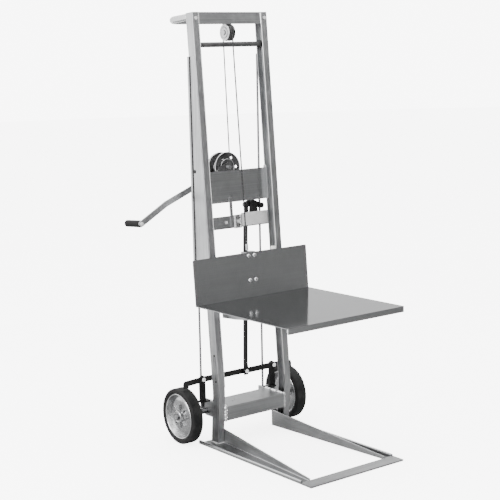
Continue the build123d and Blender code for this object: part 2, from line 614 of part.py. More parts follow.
# Carriage slides in the channels and the plate that joins them
SLIDE_IN = OPENING + 1.5
SLIDE_OUT = INNER - RUN_GAP
for side, label in ((-1, "left_slide"), (1, "right_slide")):
    x0, x1 = sorted((side * SLIDE_IN, side * SLIDE_OUT))
    with BuildPart() as slide:
        add(block(x0, x1, CHANNEL_WALL + RUN_GAP, CHANNEL_DEPTH - CHANNEL_WALL - RUN_GAP,
                  SLIDE_LOW, SLIDE_LOW + SLIDE_HEIGHT))
        chamfer(slide.edges().filter_by(Axis.X), 4.0)
    save(slide.part, label, leaning=True)
PLATE_REAR = CARRIAGE_PLATE_DEPTH + CARRIAGE_PLATE
with BuildPart() as carriage_plate:
    add(block(-SLIDE_IN, SLIDE_IN, CARRIAGE_PLATE_DEPTH, PLATE_REAR, SLIDE_LOW + 10,
              SLIDE_LOW + SLIDE_HEIGHT - 10))
save(carriage_plate.part, "carriage_plate", leaning=True)

# Platform: one sheet bent into a leaning back plate and a level deck with a turned-down lip
FOLD = (PLATFORM_Z + BACK_FRONT * sin(radians(LEAN))) / cos(radians(LEAN))
FOLD_Y = tipped(BACK_FRONT, FOLD)[0]
BACK_REAR = BACK_FRONT + PLATFORM_SHEET
DECK_UNDER = PLATFORM_Z - PLATFORM_SHEET
UNDER_FOLD = (DECK_UNDER + BACK_REAR * sin(radians(LEAN))) / cos(radians(LEAN))
UNDER_FOLD_Y = tipped(BACK_REAR, UNDER_FOLD)[0]
LIP_Y = FOLD_Y - PLATFORM_DEPTH
with BuildPart() as platform:
    with BuildSketch(Plane.YZ.offset(-PLATFORM_WIDTH / 2)) as sheet:
        with BuildLine():
            Polyline(
                tipped(BACK_REAR, FOLD + BACK_HEIGHT),
                tipped(BACK_FRONT, FOLD + BACK_HEIGHT),
                (FOLD_Y, PLATFORM_Z),
                (LIP_Y, PLATFORM_Z),
                (LIP_Y, PLATFORM_Z - LIP_HEIGHT),
                (LIP_Y + PLATFORM_SHEET, PLATFORM_Z - LIP_HEIGHT),
                (LIP_Y + PLATFORM_SHEET, DECK_UNDER),
                (UNDER_FOLD_Y, DECK_UNDER),
                close=True,
            )
        make_face()
        fillet(sheet.vertices().group_by(Axis.Y)[0].sort_by(Axis.Z)[-1:], PLATFORM_SHEET)
    extrude(amount=PLATFORM_WIDTH)
    with BuildSketch(Plane.XY.offset(PLATFORM_Z - 2 * LIP_HEIGHT)):
        with Locations((0, LIP_Y + PLATFORM_DEPTH)):
            RectangleRounded(PLATFORM_WIDTH, 2 * PLATFORM_DEPTH, CORNER_RADIUS)
    extrude(amount=4 * BACK_HEIGHT, mode=Mode.INTERSECT)
    with BuildSketch(Plane.XZ.offset(-PLATFORM_DEPTH)):
        with Locations((0, tipped(BACK_FRONT, FOLD + BACK_HEIGHT)[1] - PLATFORM_DEPTH)):
            RectangleRounded(PLATFORM_WIDTH, 2 * PLATFORM_DEPTH, CORNER_RADIUS)
    extrude(amount=2 * PLATFORM_DEPTH, both=True, mode=Mode.INTERSECT)
save(platform.part, "platform")

# Support arms from the carriage plate, behind the back plate and under the deck
ARM_REAR = CARRIAGE_PLATE_DEPTH
ARM_TOP = SLIDE_LOW + SLIDE_HEIGHT - 12
ARM_LOW = UNDER_FOLD - ARM_DROP
for side, label in ((-1, "left_arm"), (1, "right_arm")):
    with BuildPart() as arm:
        with BuildSketch(Plane.YZ.offset(side * ARM_X - ARM_THICK / 2)):
            with BuildLine():
                Polyline(
                    tipped(ARM_REAR, ARM_TOP),
                    tipped(BACK_REAR, ARM_TOP),
                    (UNDER_FOLD_Y, DECK_UNDER),
                    (FOLD_Y - ARM_REACH, DECK_UNDER),
                    (FOLD_Y - ARM_REACH, DECK_UNDER - 14),
                    tipped(BACK_REAR - 40, ARM_LOW),
                    tipped(ARM_REAR, ARM_LOW),
                    close=True,
                )
            make_face()
        extrude(amount=ARM_THICK)
    save(arm.part, label)

# Cable anchor: a strap on the back plate with a bored tab at its top
with BuildPart() as cable_anchor:
    add(block(-ANCHOR_WIDTH / 2, ANCHOR_WIDTH / 2, BACK_REAR, BACK_REAR + 6, ANCHOR_LOW,
              ANCHOR_HIGH - 4))
    add(block(-ANCHOR_WIDTH / 2, ANCHOR_WIDTH / 2, BACK_REAR, FRONT_DEPTH + 12, ANCHOR_HIGH - 12,
              ANCHOR_HIGH - FIT_GAP))
save(cable_anchor.part, "cable_anchor", leaning=True)
with BuildPart() as platform_bolts:
    for x in (-13.0, 13.0):
        for height in (ANCHOR_LOW + 14, ANCHOR_HIGH - 14):
            add(bolt_y(x, height, BACK_FRONT))
save(platform_bolts.part, "platform_bolts", leaning=True)

# Wheels: rubber tyre on a ribbed hub with two bearings each
RIM = WHEEL_RADIUS - TYRE_SECTION
for side, name in ((-1, "left"), (1, "right")):
    place = Location((side * TREAD_CENTRE, AXLE_Y, WHEEL_RADIUS))
    with BuildPart() as tyre:
        with BuildSketch(Plane.XZ):
            with Locations((0, RIM + TYRE_SECTION / 2)):
                RectangleRounded(WHEEL_WIDTH, TYRE_SECTION, 6)
            with Locations((0, RIM + 4)):
                Rectangle(2 * RIM_HALF, 8)
        revolve(axis=Axis.X)
    save(tyre.part.move(place), f"{name}_tyre")
    with BuildPart() as hub:
        with BuildSketch(Plane.XZ):
            with BuildLine():
                edge = Polyline(
                    (WHEEL_WIDTH / 2, BEARING_OUTER / 2),
                    (WHEEL_WIDTH / 2, BOSS_RADIUS - 3),
                    (DISC_THICK, BOSS_RADIUS),
                    (DISC_THICK, RIM * 0.68),
                    (DISC_THICK / 2, RIM - 11),
                    (RIM_HALF, RIM - 5),
                    (RIM_HALF, RIM),
                    (0, RIM),
                )
                mirror(edge, about=Plane.YZ)
                Line((-WHEEL_WIDTH / 2, BEARING_OUTER / 2), (WHEEL_WIDTH / 2, BEARING_OUTER / 2))
            make_face()
        revolve(axis=Axis.X)
        with BuildSketch(Plane.YZ.offset(-RIB_HALF)):
            with PolarLocations((BOSS_RADIUS + RIB_REACH) / 2, RIBS):
                Rectangle(RIB_REACH - BOSS_RADIUS + 4, 5.0)
        extrude(amount=2 * RIB_HALF)
    save(hub.part.move(place), f"{name}_hub")
    with BuildPart() as bearings:
        for x0 in (-WHEEL_WIDTH / 2, WHEEL_WIDTH / 2 - BEARING_LENGTH):
            with BuildSketch(Plane.YZ.offset(x0)):
                Circle(BEARING_OUTER / 2)
                Circle(AXLE_DIAMETER / 2 + SHAFT_GAP, mode=Mode.SUBTRACT)
            extrude(amount=BEARING_LENGTH)
    save(bearings.part.move(place), f"{name}_bearings")

# Axle through the brackets, with sleeves and end caps that keep the wheels in place
BRACKET_OUT = OPENING
BRACKET_IN = OPENING - BRACKET_THICK
WHEEL_IN = TREAD_CENTRE - WHEEL_WIDTH / 2
WHEEL_OUT = TREAD_CENTRE + WHEEL_WIDTH / 2
AXLE_END = WHEEL_OUT + FIT_GAP + 8.0
with BuildPart() as axle:
    add(rod_x(AXLE_DIAMETER / 2, -AXLE_END, AXLE_END, AXLE_Y, WHEEL_RADIUS))
save(axle.part, "axle")
with BuildPart() as axle_collars:
    for side in (-1, 1):
        for near, far in ((BRACKET_OUT, WHEEL_IN - FIT_GAP), (WHEEL_OUT + FIT_GAP, AXLE_END)):
            x0, x1 = sorted((side * near, side * far))
            with BuildSketch(Plane((x0, AXLE_Y, WHEEL_RADIUS), x_dir=(0, 1, 0), z_dir=(1, 0, 0))):
                Circle(AXLE_DIAMETER / 2 + 4)
                Circle(AXLE_DIAMETER / 2, mode=Mode.SUBTRACT)
            extrude(amount=x1 - x0)
save(axle_collars.part, "axle_collars")

# Axle brackets inside the uprights and the folded cover between them
BRACKET_LOW = WHEEL_RADIUS - 18.0
for side, label in ((-1, "left_axle_bracket"), (1, "right_axle_bracket")):
    x0 = min(side * BRACKET_OUT, side * BRACKET_IN)
    with BuildPart() as bracket:
        with BuildSketch(Plane.YZ.offset(x0)):
            with BuildLine():
                Polyline(
                    (COVER_FRONT_Y + 12, BRACKET_LOW),
                    (COVER_FRONT_Y + 12, COVER_TOP_Z),
                    (ROD_LOW_Y + 12, COVER_TOP_Z),
                    (ROD_LOW_Y + 12, WHEEL_RADIUS - 4),
                    (AXLE_Y, BRACKET_LOW),
                    close=True,
                )
            make_face()
            with Locations((AXLE_Y, WHEEL_RADIUS)):
                Circle(AXLE_DIAMETER / 2, mode=Mode.SUBTRACT)
        extrude(amount=BRACKET_THICK)
    save(bracket.part, label)
with BuildPart() as axle_cover:
    with BuildSketch(Plane.YZ.offset(-BRACKET_IN)):
        with BuildLine():
            Polyline(
                (COVER_FRONT_Y, COVER_TOP_Z - COVER_FACE),
                (COVER_FRONT_Y, COVER_TOP_Z),
                (COVER_REAR_Y, COVER_TOP_Z),
                (COVER_REAR_Y, COVER_TOP_Z - SHEET),
                (COVER_FRONT_Y + SHEET, COVER_TOP_Z - SHEET),
                (COVER_FRONT_Y + SHEET, COVER_TOP_Z - COVER_FACE),
                close=True,
            )
        make_face()
    extrude(amount=2 * BRACKET_IN)
    with Locations((-70, COVER_FRONT_Y + 50, COVER_TOP_Z), (-50, COVER_FRONT_Y + 66, COVER_TOP_Z)):
        Cylinder(3.0, 4 * SHEET, mode=Mode.SUBTRACT)
save(axle_cover.part, "axle_cover")

# Floor frame: tapering trough rails and a flat toe bar
RAIL_END_Y = RAIL_FRONT_Y + TOE_DEPTH + FIT_GAP
for side, label in ((-1, "left_base_rail"), (1, "right_base_rail")):
    rear = Vector(side * RAIL_INNER_REAR, RAIL_REAR_Y, 0)
    front = Vector(side * RAIL_INNER_FRONT, RAIL_END_Y, 0)
    with BuildPart() as rail:
        with BuildSketch():
            with BuildLine():
                Polyline(
                    (side * RAIL_OUTER, RAIL_REAR_Y),
                    (side * RAIL_OUTER, RAIL_END_Y),
                    (front.X, front.Y),
                    (rear.X, rear.Y),
                    close=True,
                )
            make_face()
        extrude(amount=RAIL_WALL)
        x0, x1 = sorted((side * RAIL_OUTER, side * (RAIL_OUTER - RAIL_WALL)))
        add(block(x0, x1, RAIL_END_Y, RAIL_REAR_Y, 0, RAIL_LIP))
        with BuildSketch(Plane(rear, x_dir=front - rear,
                               z_dir=Vector(0, 0, 1).cross(front - rear) * side)) as wall:
            up = 1 if wall.workplanes[0].y_dir.Z > 0 else -1
            length = (front - rear).length
            with BuildLine():
                Polyline((0, 0), (0, up * RAIL_TALL), (length, up * RAIL_LIP), (length, 0), close=True)
            make_face()
        extrude(amount=-RAIL_WALL)
    save(rail.part, label)
with BuildPart() as toe_bar:
    with BuildSketch():
        with Locations((0, RAIL_FRONT_Y + TOE_DEPTH / 2)):
            Rectangle(2 * RAIL_OUTER, TOE_DEPTH)
    extrude(amount=TOE_THICK)
save(toe_bar.part, "toe_bar")

# Brake posts on the axle brackets
LEVER_LEFT_Y = BRAKE_Y + 5.0
LEVER_RIGHT_Y = LEVER_LEFT_Y - LEVER_THICK - FIT_GAP
POST_Y = LEVER_LEFT_Y + LEVER_THICK + FIT_GAP
PIVOT_RADIUS = 5.0
for side, label in ((-1, "left_brake_post"), (1, "right_brake_post")):
    x0, x1 = sorted((side * BRACKET_IN, side * (LEVER_PIVOT_X + POST_WIDTH / 2)))
    lever_y = LEVER_LEFT_Y if side < 0 else LEVER_RIGHT_Y
    with BuildPart() as post:
        add(block(x0, x1, POST_Y - 8, POST_Y + 18, COVER_TOP_Z, COVER_TOP_Z + 5))
        with BuildSketch(Plane((side * LEVER_PIVOT_X, POST_Y + POST_THICK, 0), x_dir=(1, 0, 0),
                               z_dir=(0, -1, 0))):
            with Locations((0, LEVER_PIVOT_Z)):
                Circle(POST_WIDTH / 2)
            with Locations((0, COVER_TOP_Z + 2.5)):
                Rectangle(POST_WIDTH, 5)
            make_hull()
        extrude(amount=POST_THICK)
        add(rod_y(PIVOT_RADIUS, lever_y - FIT_GAP, POST_Y, side * LEVER_PIVOT_X, LEVER_PIVOT_Z))
        add(rod_y(2 * PIVOT_RADIUS, lever_y - FIT_GAP - 4, lever_y - FIT_GAP, side * LEVER_PIVOT_X,
                  LEVER_PIVOT_Z))
    save(post.part, label)

# Brake rod: a tube with flattened ends, crossed by a pin at each end
TONGUE_Y0 = LEVER_RIGHT_Y - FIT_GAP - LEVER_THICK
LINK_Z = LEVER_PIVOT_Z
ROD_BOTTOM = LINK_Z + 22.0
ROD_TOP = BRAKE_EYE_Z - 46.0
PIN_R = 4.0
TYRE_TOP = WHEEL_RADIUS + (WHEEL_RADIUS ** 2 - (AXLE_Y - LEVER_LEFT_Y - LEVER_THICK) ** 2) ** 0.5
ROD_LEAN = Vector(BRAKE_EYE_X - BRAKE_LINK_X, 0, BRAKE_EYE_Z - LINK_Z).normalized()
ROD_FOOT = Vector(BRAKE_LINK_X, BRAKE_Y, LINK_Z) + ROD_LEAN * (ROD_BOTTOM - LINK_Z)
with BuildPart() as brake_rod:
    with BuildSketch(Plane(ROD_FOOT, x_dir=(0, 1, 0), z_dir=ROD_LEAN)):
        Circle(BRAKE_TUBE / 2)
        Circle(BRAKE_TUBE / 2 - 2, mode=Mode.SUBTRACT)
    extrude(amount=ROD_TOP - ROD_BOTTOM)
    for x, z, z0, z1 in (
        (BRAKE_LINK_X, LINK_Z, LINK_Z - 14, ROD_BOTTOM + 1),
        (BRAKE_EYE_X, BRAKE_EYE_Z, ROD_TOP - 1, BRAKE_EYE_Z + 9),
    ):
        add(block(x - 9, x + 9, TONGUE_Y0, TONGUE_Y0 + LEVER_THICK, z0, z1))
        add(rod_y(PIN_R, TONGUE_Y0, POST_Y, x, z))
        add(rod_y(1.8 * PIN_R, TONGUE_Y0 - 4, TONGUE_Y0, x, z))
save(brake_rod.part, "brake_rod")

# Brake levers: pivoted on the posts, slotted on the rod pin, turned down over the tyres
for side, y0, label in ((-1, LEVER_LEFT_Y, "left_brake_lever"), (1, LEVER_RIGHT_Y, "right_brake_lever")):
    pivot = (side * LEVER_PIVOT_X, LEVER_PIVOT_Z)
    outer = (side * (TREAD_CENTRE - 4), LEVER_PIVOT_Z - 4)
    link = (BRAKE_LINK_X, LINK_Z)
    with BuildPart() as lever:
        for ends in ((pivot, outer), (pivot, link)):
            with BuildSketch(face_plane(0, y0 + LEVER_THICK, 0)):
                with Locations(*ends):
                    Circle(LEVER_WIDTH / 2)
                make_hull()
            extrude(amount=LEVER_THICK)
        add(block(outer[0] - 11, outer[0] + 11, y0, y0 + LEVER_THICK, TYRE_TOP + PAD_GAP, outer[1]))
        add(rod_y(PIVOT_RADIUS + SHAFT_GAP, y0 - 1, y0 + LEVER_THICK + 1, *pivot), mode=Mode.SUBTRACT)
        with BuildSketch(face_plane(link[0], y0 + LEVER_THICK, link[1])):
            SlotCenterToCenter(5.0, 2 * (PIN_R + 0.6))
        extrude(amount=LEVER_THICK, mode=Mode.SUBTRACT)
    save(lever.part, label)

# Hand rocker on a bracket above the rear crossbar
ROCKER_Y = TONGUE_Y0 + LEVER_THICK + FIT_GAP
with BuildPart() as brake_bracket:
    with BuildSketch(face_plane(0, CHANNEL_DEPTH + CROSSBAR_THICK + 4, 0)):
        with Locations((ROCKER_PIVOT_X, ROCKER_PIVOT_Z + 2)):
            Circle(15)
        with Locations((ROCKER_PIVOT_X, CROSSBAR_LOW + 20)):
            Rectangle(44, 30)
        make_hull()
    extrude(amount=4.0)
BRACKET_SOLID = brake_bracket.part.rotate(Axis.X, -LEAN)
BRACKET_REAR = tipped(CHANNEL_DEPTH + CROSSBAR_THICK + 4, ROCKER_PIVOT_Z)[0]
with BuildPart() as rocker_bracket:
    add(BRACKET_SOLID)
    add(rod_y(PIVOT_RADIUS, BRACKET_REAR - 3, ROCKER_Y + ROCKER_THICK + FIT_GAP, ROCKER_PIVOT_X,
              ROCKER_PIVOT_Z))
    add(rod_y(2 * PIVOT_RADIUS, BRACKET_REAR - 2, ROCKER_Y - FIT_GAP, ROCKER_PIVOT_X, ROCKER_PIVOT_Z))
    add(rod_y(1.6 * PIVOT_RADIUS, ROCKER_Y + ROCKER_THICK + FIT_GAP, ROCKER_Y + ROCKER_THICK + 4,
              ROCKER_PIVOT_X, ROCKER_PIVOT_Z))
save(rocker_bracket.part, "rocker_bracket")
KNOB = (ROCKER_PIVOT_X + ROCKER_GRIP, ROCKER_PIVOT_Z - 12.0)
with BuildPart() as brake_rocker:
    for ends in (
        ((BRAKE_EYE_X, BRAKE_EYE_Z, 9.0), (ROCKER_PIVOT_X, ROCKER_PIVOT_Z, 14.0)),
        ((ROCKER_PIVOT_X, ROCKER_PIVOT_Z, 14.0), (*KNOB, 8.0)),
    ):
        with BuildSketch(face_plane(0, ROCKER_Y + ROCKER_THICK, 0)):
            for x, z, radius in ends:
                with Locations((x, z)):
                    Circle(radius)
            make_hull()
        extrude(amount=ROCKER_THICK)
    add(rod_y(10.0, ROCKER_Y - 8, ROCKER_Y + ROCKER_THICK + 10, *KNOB))
    add(rod_y(PIVOT_RADIUS + SHAFT_GAP, ROCKER_Y - 1, ROCKER_Y + ROCKER_THICK + 1, ROCKER_PIVOT_X,
              ROCKER_PIVOT_Z),
        mode=Mode.SUBTRACT)
    with BuildSketch(face_plane(BRAKE_EYE_X, ROCKER_Y + ROCKER_THICK, BRAKE_EYE_Z)):
        SlotCenterToCenter(4.0, 2 * (PIN_R + 0.6))
    extrude(amount=ROCKER_THICK, mode=Mode.SUBTRACT)
save(brake_rocker.part, "brake_rocker")

# Zinc guide plate, bright brake plate and bolts on the mast
GUIDE_LEFT = STRAP_X + STRAP_WIDTH / 2 + 2
GUIDE_RIGHT = GUIDE_LEFT + 34.0
GUIDE_THICK = 4.0
with BuildPart() as guide_plate:
    add(block(GUIDE_LEFT, GUIDE_RIGHT, CHANNEL_DEPTH - GUIDE_THICK, CHANNEL_DEPTH, CROSSBAR_LOW - 2,
              CROSSBAR_HIGH + 2))
    for x in (GUIDE_LEFT + 5, GUIDE_RIGHT - 5):
        add(block(x - 2, x + 2, CHANNEL_DEPTH - 2 * GUIDE_THICK, CHANNEL_DEPTH - GUIDE_THICK,
                  CROSSBAR_LOW - 2, CROSSBAR_HIGH + 2))
save(guide_plate.part, "guide_plate", leaning=True)
with BuildPart() as brake_plate:
    add(block(GUIDE_RIGHT + 1, OPENING - 2, CHANNEL_DEPTH - GUIDE_THICK, CHANNEL_DEPTH,
              CROSSBAR_LOW + 4, CROSSBAR_HIGH + 6))
    fillet(brake_plate.edges().filter_by(Axis.Y), CORNER_RADIUS / 2)
save(brake_plate.part, "brake_plate", leaning=True)
with BuildPart() as frame_bolts:
    for side in (-1, 1):
        add(bolt_y(side * (HALF - CHANNEL_FLANGE / 2), MAST_TOP - TOP_BAR_HEIGHT / 2, 0))
    add(bolt_y((GUIDE_LEFT + GUIDE_RIGHT) / 2, (CROSSBAR_LOW + CROSSBAR_HIGH) / 2,
               CHANNEL_DEPTH - GUIDE_THICK))
    add(bolt_y(2 * STRAP_X, (CROSSBAR_LOW + CROSSBAR_HIGH) / 2, CHANNEL_DEPTH))
save(frame_bolts.part, "frame_bolts", leaning=True)
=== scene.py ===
"""Looks of the winch lift truck: finishes, fasteners, weld beads, wire rope, studio and camera."""
import logging
import math
from abc import ABC, abstractmethod
from dataclasses import dataclass, field
from enum import Enum
from typing import Any, Sequence

import bmesh
import bpy
from mathutils import Matrix, Vector


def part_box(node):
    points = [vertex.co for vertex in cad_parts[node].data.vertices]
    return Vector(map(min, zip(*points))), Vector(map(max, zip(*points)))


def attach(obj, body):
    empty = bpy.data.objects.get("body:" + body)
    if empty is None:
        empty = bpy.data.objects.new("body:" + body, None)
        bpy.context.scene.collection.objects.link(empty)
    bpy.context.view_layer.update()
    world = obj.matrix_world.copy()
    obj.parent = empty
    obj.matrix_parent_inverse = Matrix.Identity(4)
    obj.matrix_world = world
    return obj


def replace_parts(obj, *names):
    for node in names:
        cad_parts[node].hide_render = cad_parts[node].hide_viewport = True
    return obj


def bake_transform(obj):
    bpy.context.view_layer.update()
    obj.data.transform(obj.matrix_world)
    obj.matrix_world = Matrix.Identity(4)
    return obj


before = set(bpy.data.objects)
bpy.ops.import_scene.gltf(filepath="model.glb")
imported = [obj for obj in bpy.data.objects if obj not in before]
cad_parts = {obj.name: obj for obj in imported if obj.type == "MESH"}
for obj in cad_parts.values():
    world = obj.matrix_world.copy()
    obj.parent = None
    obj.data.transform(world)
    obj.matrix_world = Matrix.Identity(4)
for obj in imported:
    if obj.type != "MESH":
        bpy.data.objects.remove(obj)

LOG = logging.getLogger("winch_lift_truck")
Colour = tuple[float, float, float]
Spot = tuple[float, float, float]
RingSize = tuple[float, float, float]

IMAGE_SIDE = 500
SHARP_ANGLE = math.radians(35)
SIDES = (-1, 1)
ACROSS = Vector((1, 0, 0))
FORWARD = Vector((0, -1, 0))
UPWARD = Vector((0, 0, 1))
MAST_FOOT_Y = 0.514
MAST_LEAN = math.radians(3.6)
DRUM_X = -0.020
DRUM_HEIGHT = 0.993
PULLEY_DEPTH = 0.024
PULLEY_HEIGHT = 1.470


def on_mast(x: float, depth: float, height: float) -> Vector:
    """Turn a place on the leaning mast into the row frame.

    Args:
        x: Distance to the right of the mid-plane, in metres.
        depth: Distance behind the uprights' front faces, in metres.
        height: Distance up along the uprights, in metres.

    Returns:
        The same place in the row frame.
    """
    lean_cos, lean_sin = math.cos(MAST_LEAN), math.sin(MAST_LEAN)
    y = MAST_FOOT_Y + depth * lean_cos + height * lean_sin
    return Vector((x, y, height * lean_cos - depth * lean_sin))


MAST_UP = on_mast(0, 0, 1) - on_mast(0, 0, 0)
MAST_BACK = on_mast(0, 1, 0) - on_mast(0, 0, 0)


class Grain(Enum):
    """Direction that rolling or brushing lines run in."""

    ALONG_X = (3.0, 260.0, 260.0)
    ALONG_Y = (260.0, 3.0, 260.0)
    ALONG_Z = (260.0, 260.0, 3.0)


class Value:
    """A shader socket that takes part in Python arithmetic."""

    def __init__(self, graph: "Graph", socket: bpy.types.NodeSocket) -> None:
        """Keep the socket and the graph that it belongs to."""
        self.graph = graph
        self.socket = socket

    def _math(self, operation: str, first: Any, second: Any) -> "Value":
        """Add one Math node for an expression."""
        return self.graph.node("ShaderNodeMath", {"operation": operation}, {0: first, 1: second})

    def __add__(self, other: Any) -> "Value":
        """Sum of two values."""
        return self._math("ADD", self, other)

    __radd__ = __add__

    def __sub__(self, other: Any) -> "Value":
        """Difference of two values."""
        return self._math("SUBTRACT", self, other)

    def __rsub__(self, other: Any) -> "Value":
        """A number less this value."""
        return self._math("SUBTRACT", other, self)

    def __mul__(self, other: Any) -> "Value":
        """Product of two values."""
        return self._math("MULTIPLY", self, other)

    __rmul__ = __mul__


class Graph:
    """One material's node tree, ending in a Principled shader."""

    def __init__(self, name: str) -> None:
        """Start an empty material.

        Args:
            name: The material's name.
        """
        self.material = bpy.data.materials.new(name)
        self.material.use_nodes = True
        self.tree = self.material.node_tree
        self.shader = next(n for n in self.tree.nodes if n.type == "BSDF_PRINCIPLED")

    def node(self, kind: str, settings: dict[str, Any], inputs: dict[Any, Any], output: Any = 0) -> Value:
        """Add any node.

        Args:
            kind: Blender's node type.
            settings: Attributes that are set first; "stops" holds a ramp's places and greys.
            inputs: Values or links of its sockets, by name or number.
            output: The socket that is returned, by name or number.

        Returns:
            The chosen output.
        """
        made = self.tree.nodes.new(kind)
        for key, value in settings.items():
            if key == "stops":
                self._set_stops(made.color_ramp, value)
            else:
                setattr(made, key, value)
        for key, value in inputs.items():
            self._feed(made.inputs[key], value)
        return Value(self, made.outputs[output])

    @staticmethod
    def _set_stops(ramp: bpy.types.ColorRamp, stops: Sequence[tuple[float, float]]) -> None:
        """Give a ramp its places and greys.

        Args:
            ramp: The ramp of a node that was just made.
            stops: Pairs of place and grey.
        """
        while len(ramp.elements) < len(stops):
            ramp.elements.new(0.5)
        for element, (place, grey) in zip(ramp.elements, stops):
            element.position = place
            element.color = (grey, grey, grey, 1)

    def _feed(self, socket: bpy.types.NodeSocket, value: Any) -> None:
        """Link a value to a socket, or set a plain number or colour on it.

        Args:
            socket: The input that is fed.
            value: A Value, a number or a tuple.
        """
        if isinstance(value, Value):
            self.tree.links.new(value.socket, socket)
        elif isinstance(value, tuple) and socket.type == "RGBA" and len(value) == 3:
            socket.default_value = (*value, 1)
        else:
            socket.default_value = value

    def place(self, stretch: Sequence[float] = (1, 1, 1)) -> Value:
        """Position on the piece in metres, stretched by a factor for each axis."""
        spot = self.node("ShaderNodeTexCoord", {}, {}, "Object")
        return self.node("ShaderNodeVectorMath", {"operation": "MULTIPLY"}, {0: spot, 1: tuple(stretch)})

    def noise(self, where: Value, scale: float, detail: float = 3.0, roughness: float = 0.55) -> Value:
        """Cloudy value between about 0.25 and 0.75."""
        inputs = {"Vector": where, "Scale": scale, "Detail": detail, "Roughness": roughness}
        return self.node("ShaderNodeTexNoise", {}, inputs)

    def ramp(self, value: Value, *stops: tuple[float, float]) -> Value:
        """Remap a value through grey stops."""
        return self.node("ShaderNodeValToRGB", {"stops": stops}, {"Fac": value})

    def tint(self, factor: Value, low: Colour, high: Colour) -> Value:
        """Mix two colours by a value."""
        return self.node("ShaderNodeMix", {"data_type": "RGBA"}, {0: factor, 6: low, 7: high}, 2)

    def bump(self, height: Value, strength: float, distance: float) -> Value:
        """Surface relief from a height."""
        return self.node("ShaderNodeBump", {}, {"Height": height, "Strength": strength, "Distance": distance})

    def surface(self, **inputs: Any) -> bpy.types.Material:
        """Feed the shader's sockets and return the material.

        Args:
            inputs: Socket names with underscores for spaces.

        Returns:
            The finished material.
        """
        for key, value in inputs.items():
            self._feed(self.shader.inputs[key.replace("_", " ")], value)
        return self.material


class Finish(ABC):
    """A surface finish that can make its material once."""

    name: str

    @abstractmethod
    def build(self) -> bpy.types.Material:
        """Make the material."""


@dataclass(frozen=True)
class RolledMetal(Finish):
    """Aluminium or steel with rolling lines, soft tone changes and a little handling haze."""

    name: str
    dark: Colour
    light: Colour
    grain: Grain
    roughness: float
    line_depth: float = 0.12
    haze: float = 0.12
    spread: float = 0.16
    upright_haze: float = 0.0

    def build(self) -> bpy.types.Material:
        """Draw rolling lines, soft clouds and scuffs into the metal.

        Returns:
            The finished material.
        """
        graph = Graph(self.name)
        lines = graph.noise(graph.place(self.grain.value), 1.0, 4.0, 0.7)
        clouds = graph.noise(graph.place(), 7.0, 4.0)
        scuffs = graph.ramp(graph.noise(graph.place(), 46.0, 6.0, 0.7), (0.52, 0.0), (0.72, 1.0))
        tone = graph.ramp(lines * 0.55 + clouds * 0.45, (0.36, 0.0), (0.64, 1.0))
        rough = self.roughness + (lines - 0.5) * self.spread + scuffs * self.haze
        if self.upright_haze:
            normal = graph.node("ShaderNodeNewGeometry", {}, {}, "Normal")
            facing = graph.node("ShaderNodeSeparateXYZ", {}, {0: normal}, "Z")
            level = graph.node("ShaderNodeMath", {"operation": "ABSOLUTE"}, {0: facing})
            rough = rough + (1.0 - level) * self.upright_haze
        return graph.surface(
            Base_Color=graph.tint(tone, self.dark, self.light),
            Metallic=1.0,
            Roughness=rough,
            Normal=graph.bump(lines, self.line_depth, 0.0004),
        )


@dataclass(frozen=True)
class ZincPlate(Finish):
    """Bright zinc plating with a faint crystal bloom."""

    name: str
    dark: Colour
    light: Colour
    roughness: float = 0.3
    metallic: float = 1.0
    dimple: float = 0.1

    def build(self) -> bpy.types.Material:
        """Draw the plating's crystals and clouds.

        Returns:
            The finished material.
        """
        graph = Graph(self.name)
        bloom = graph.node("ShaderNodeTexVoronoi", {}, {"Vector": graph.place(), "Scale": 160.0})
        clouds = graph.noise(graph.place(), 34.0, 5.0, 0.65)
        tone = graph.ramp(bloom * 0.3 + clouds * 0.8, (0.32, 0.0), (0.72, 1.0))
        return graph.surface(
            Base_Color=graph.tint(tone, self.dark, self.light),
            Metallic=self.metallic,
            Roughness=self.roughness + clouds * 0.2 - 0.1,
            Normal=graph.bump(clouds, self.dimple, 0.0006),
        )


@dataclass(frozen=True)
class TurnedSteel(Finish):
    """Steel turned on a lathe, with fine rings about an axis."""

    name: str
    centre: Spot
    axis: Spot
    dark: Colour
    light: Colour
    roughness: float = 0.16
    ring: float = 0.0022

    def build(self) -> bpy.types.Material:
        """Draw the lathe's rings round the axis.

        Returns:
            The finished material.
        """
        graph = Graph(self.name)
        place = graph.place()
        arm = graph.node("ShaderNodeVectorMath", {"operation": "SUBTRACT"}, {0: place, 1: self.centre})
        across = graph.node("ShaderNodeVectorMath", {"operation": "CROSS_PRODUCT"}, {0: arm, 1: self.axis})
        radius = graph.node("ShaderNodeVectorMath", {"operation": "LENGTH"}, {0: across}, "Value")
        rings = graph.node("ShaderNodeMath", {"operation": "SINE"}, {0: radius * (math.tau / self.ring)})
        clouds = graph.noise(graph.place(), 40.0, 4.0)
        tone = graph.ramp(clouds + rings * 0.06, (0.36, 0.0), (0.64, 1.0))
        return graph.surface(
            Base_Color=graph.tint(tone, self.dark, self.light),
            Metallic=1.0,
            Roughness=self.roughness + clouds * 0.16 - 0.08,
            Normal=graph.bump(rings, 0.3, 0.0003),
        )


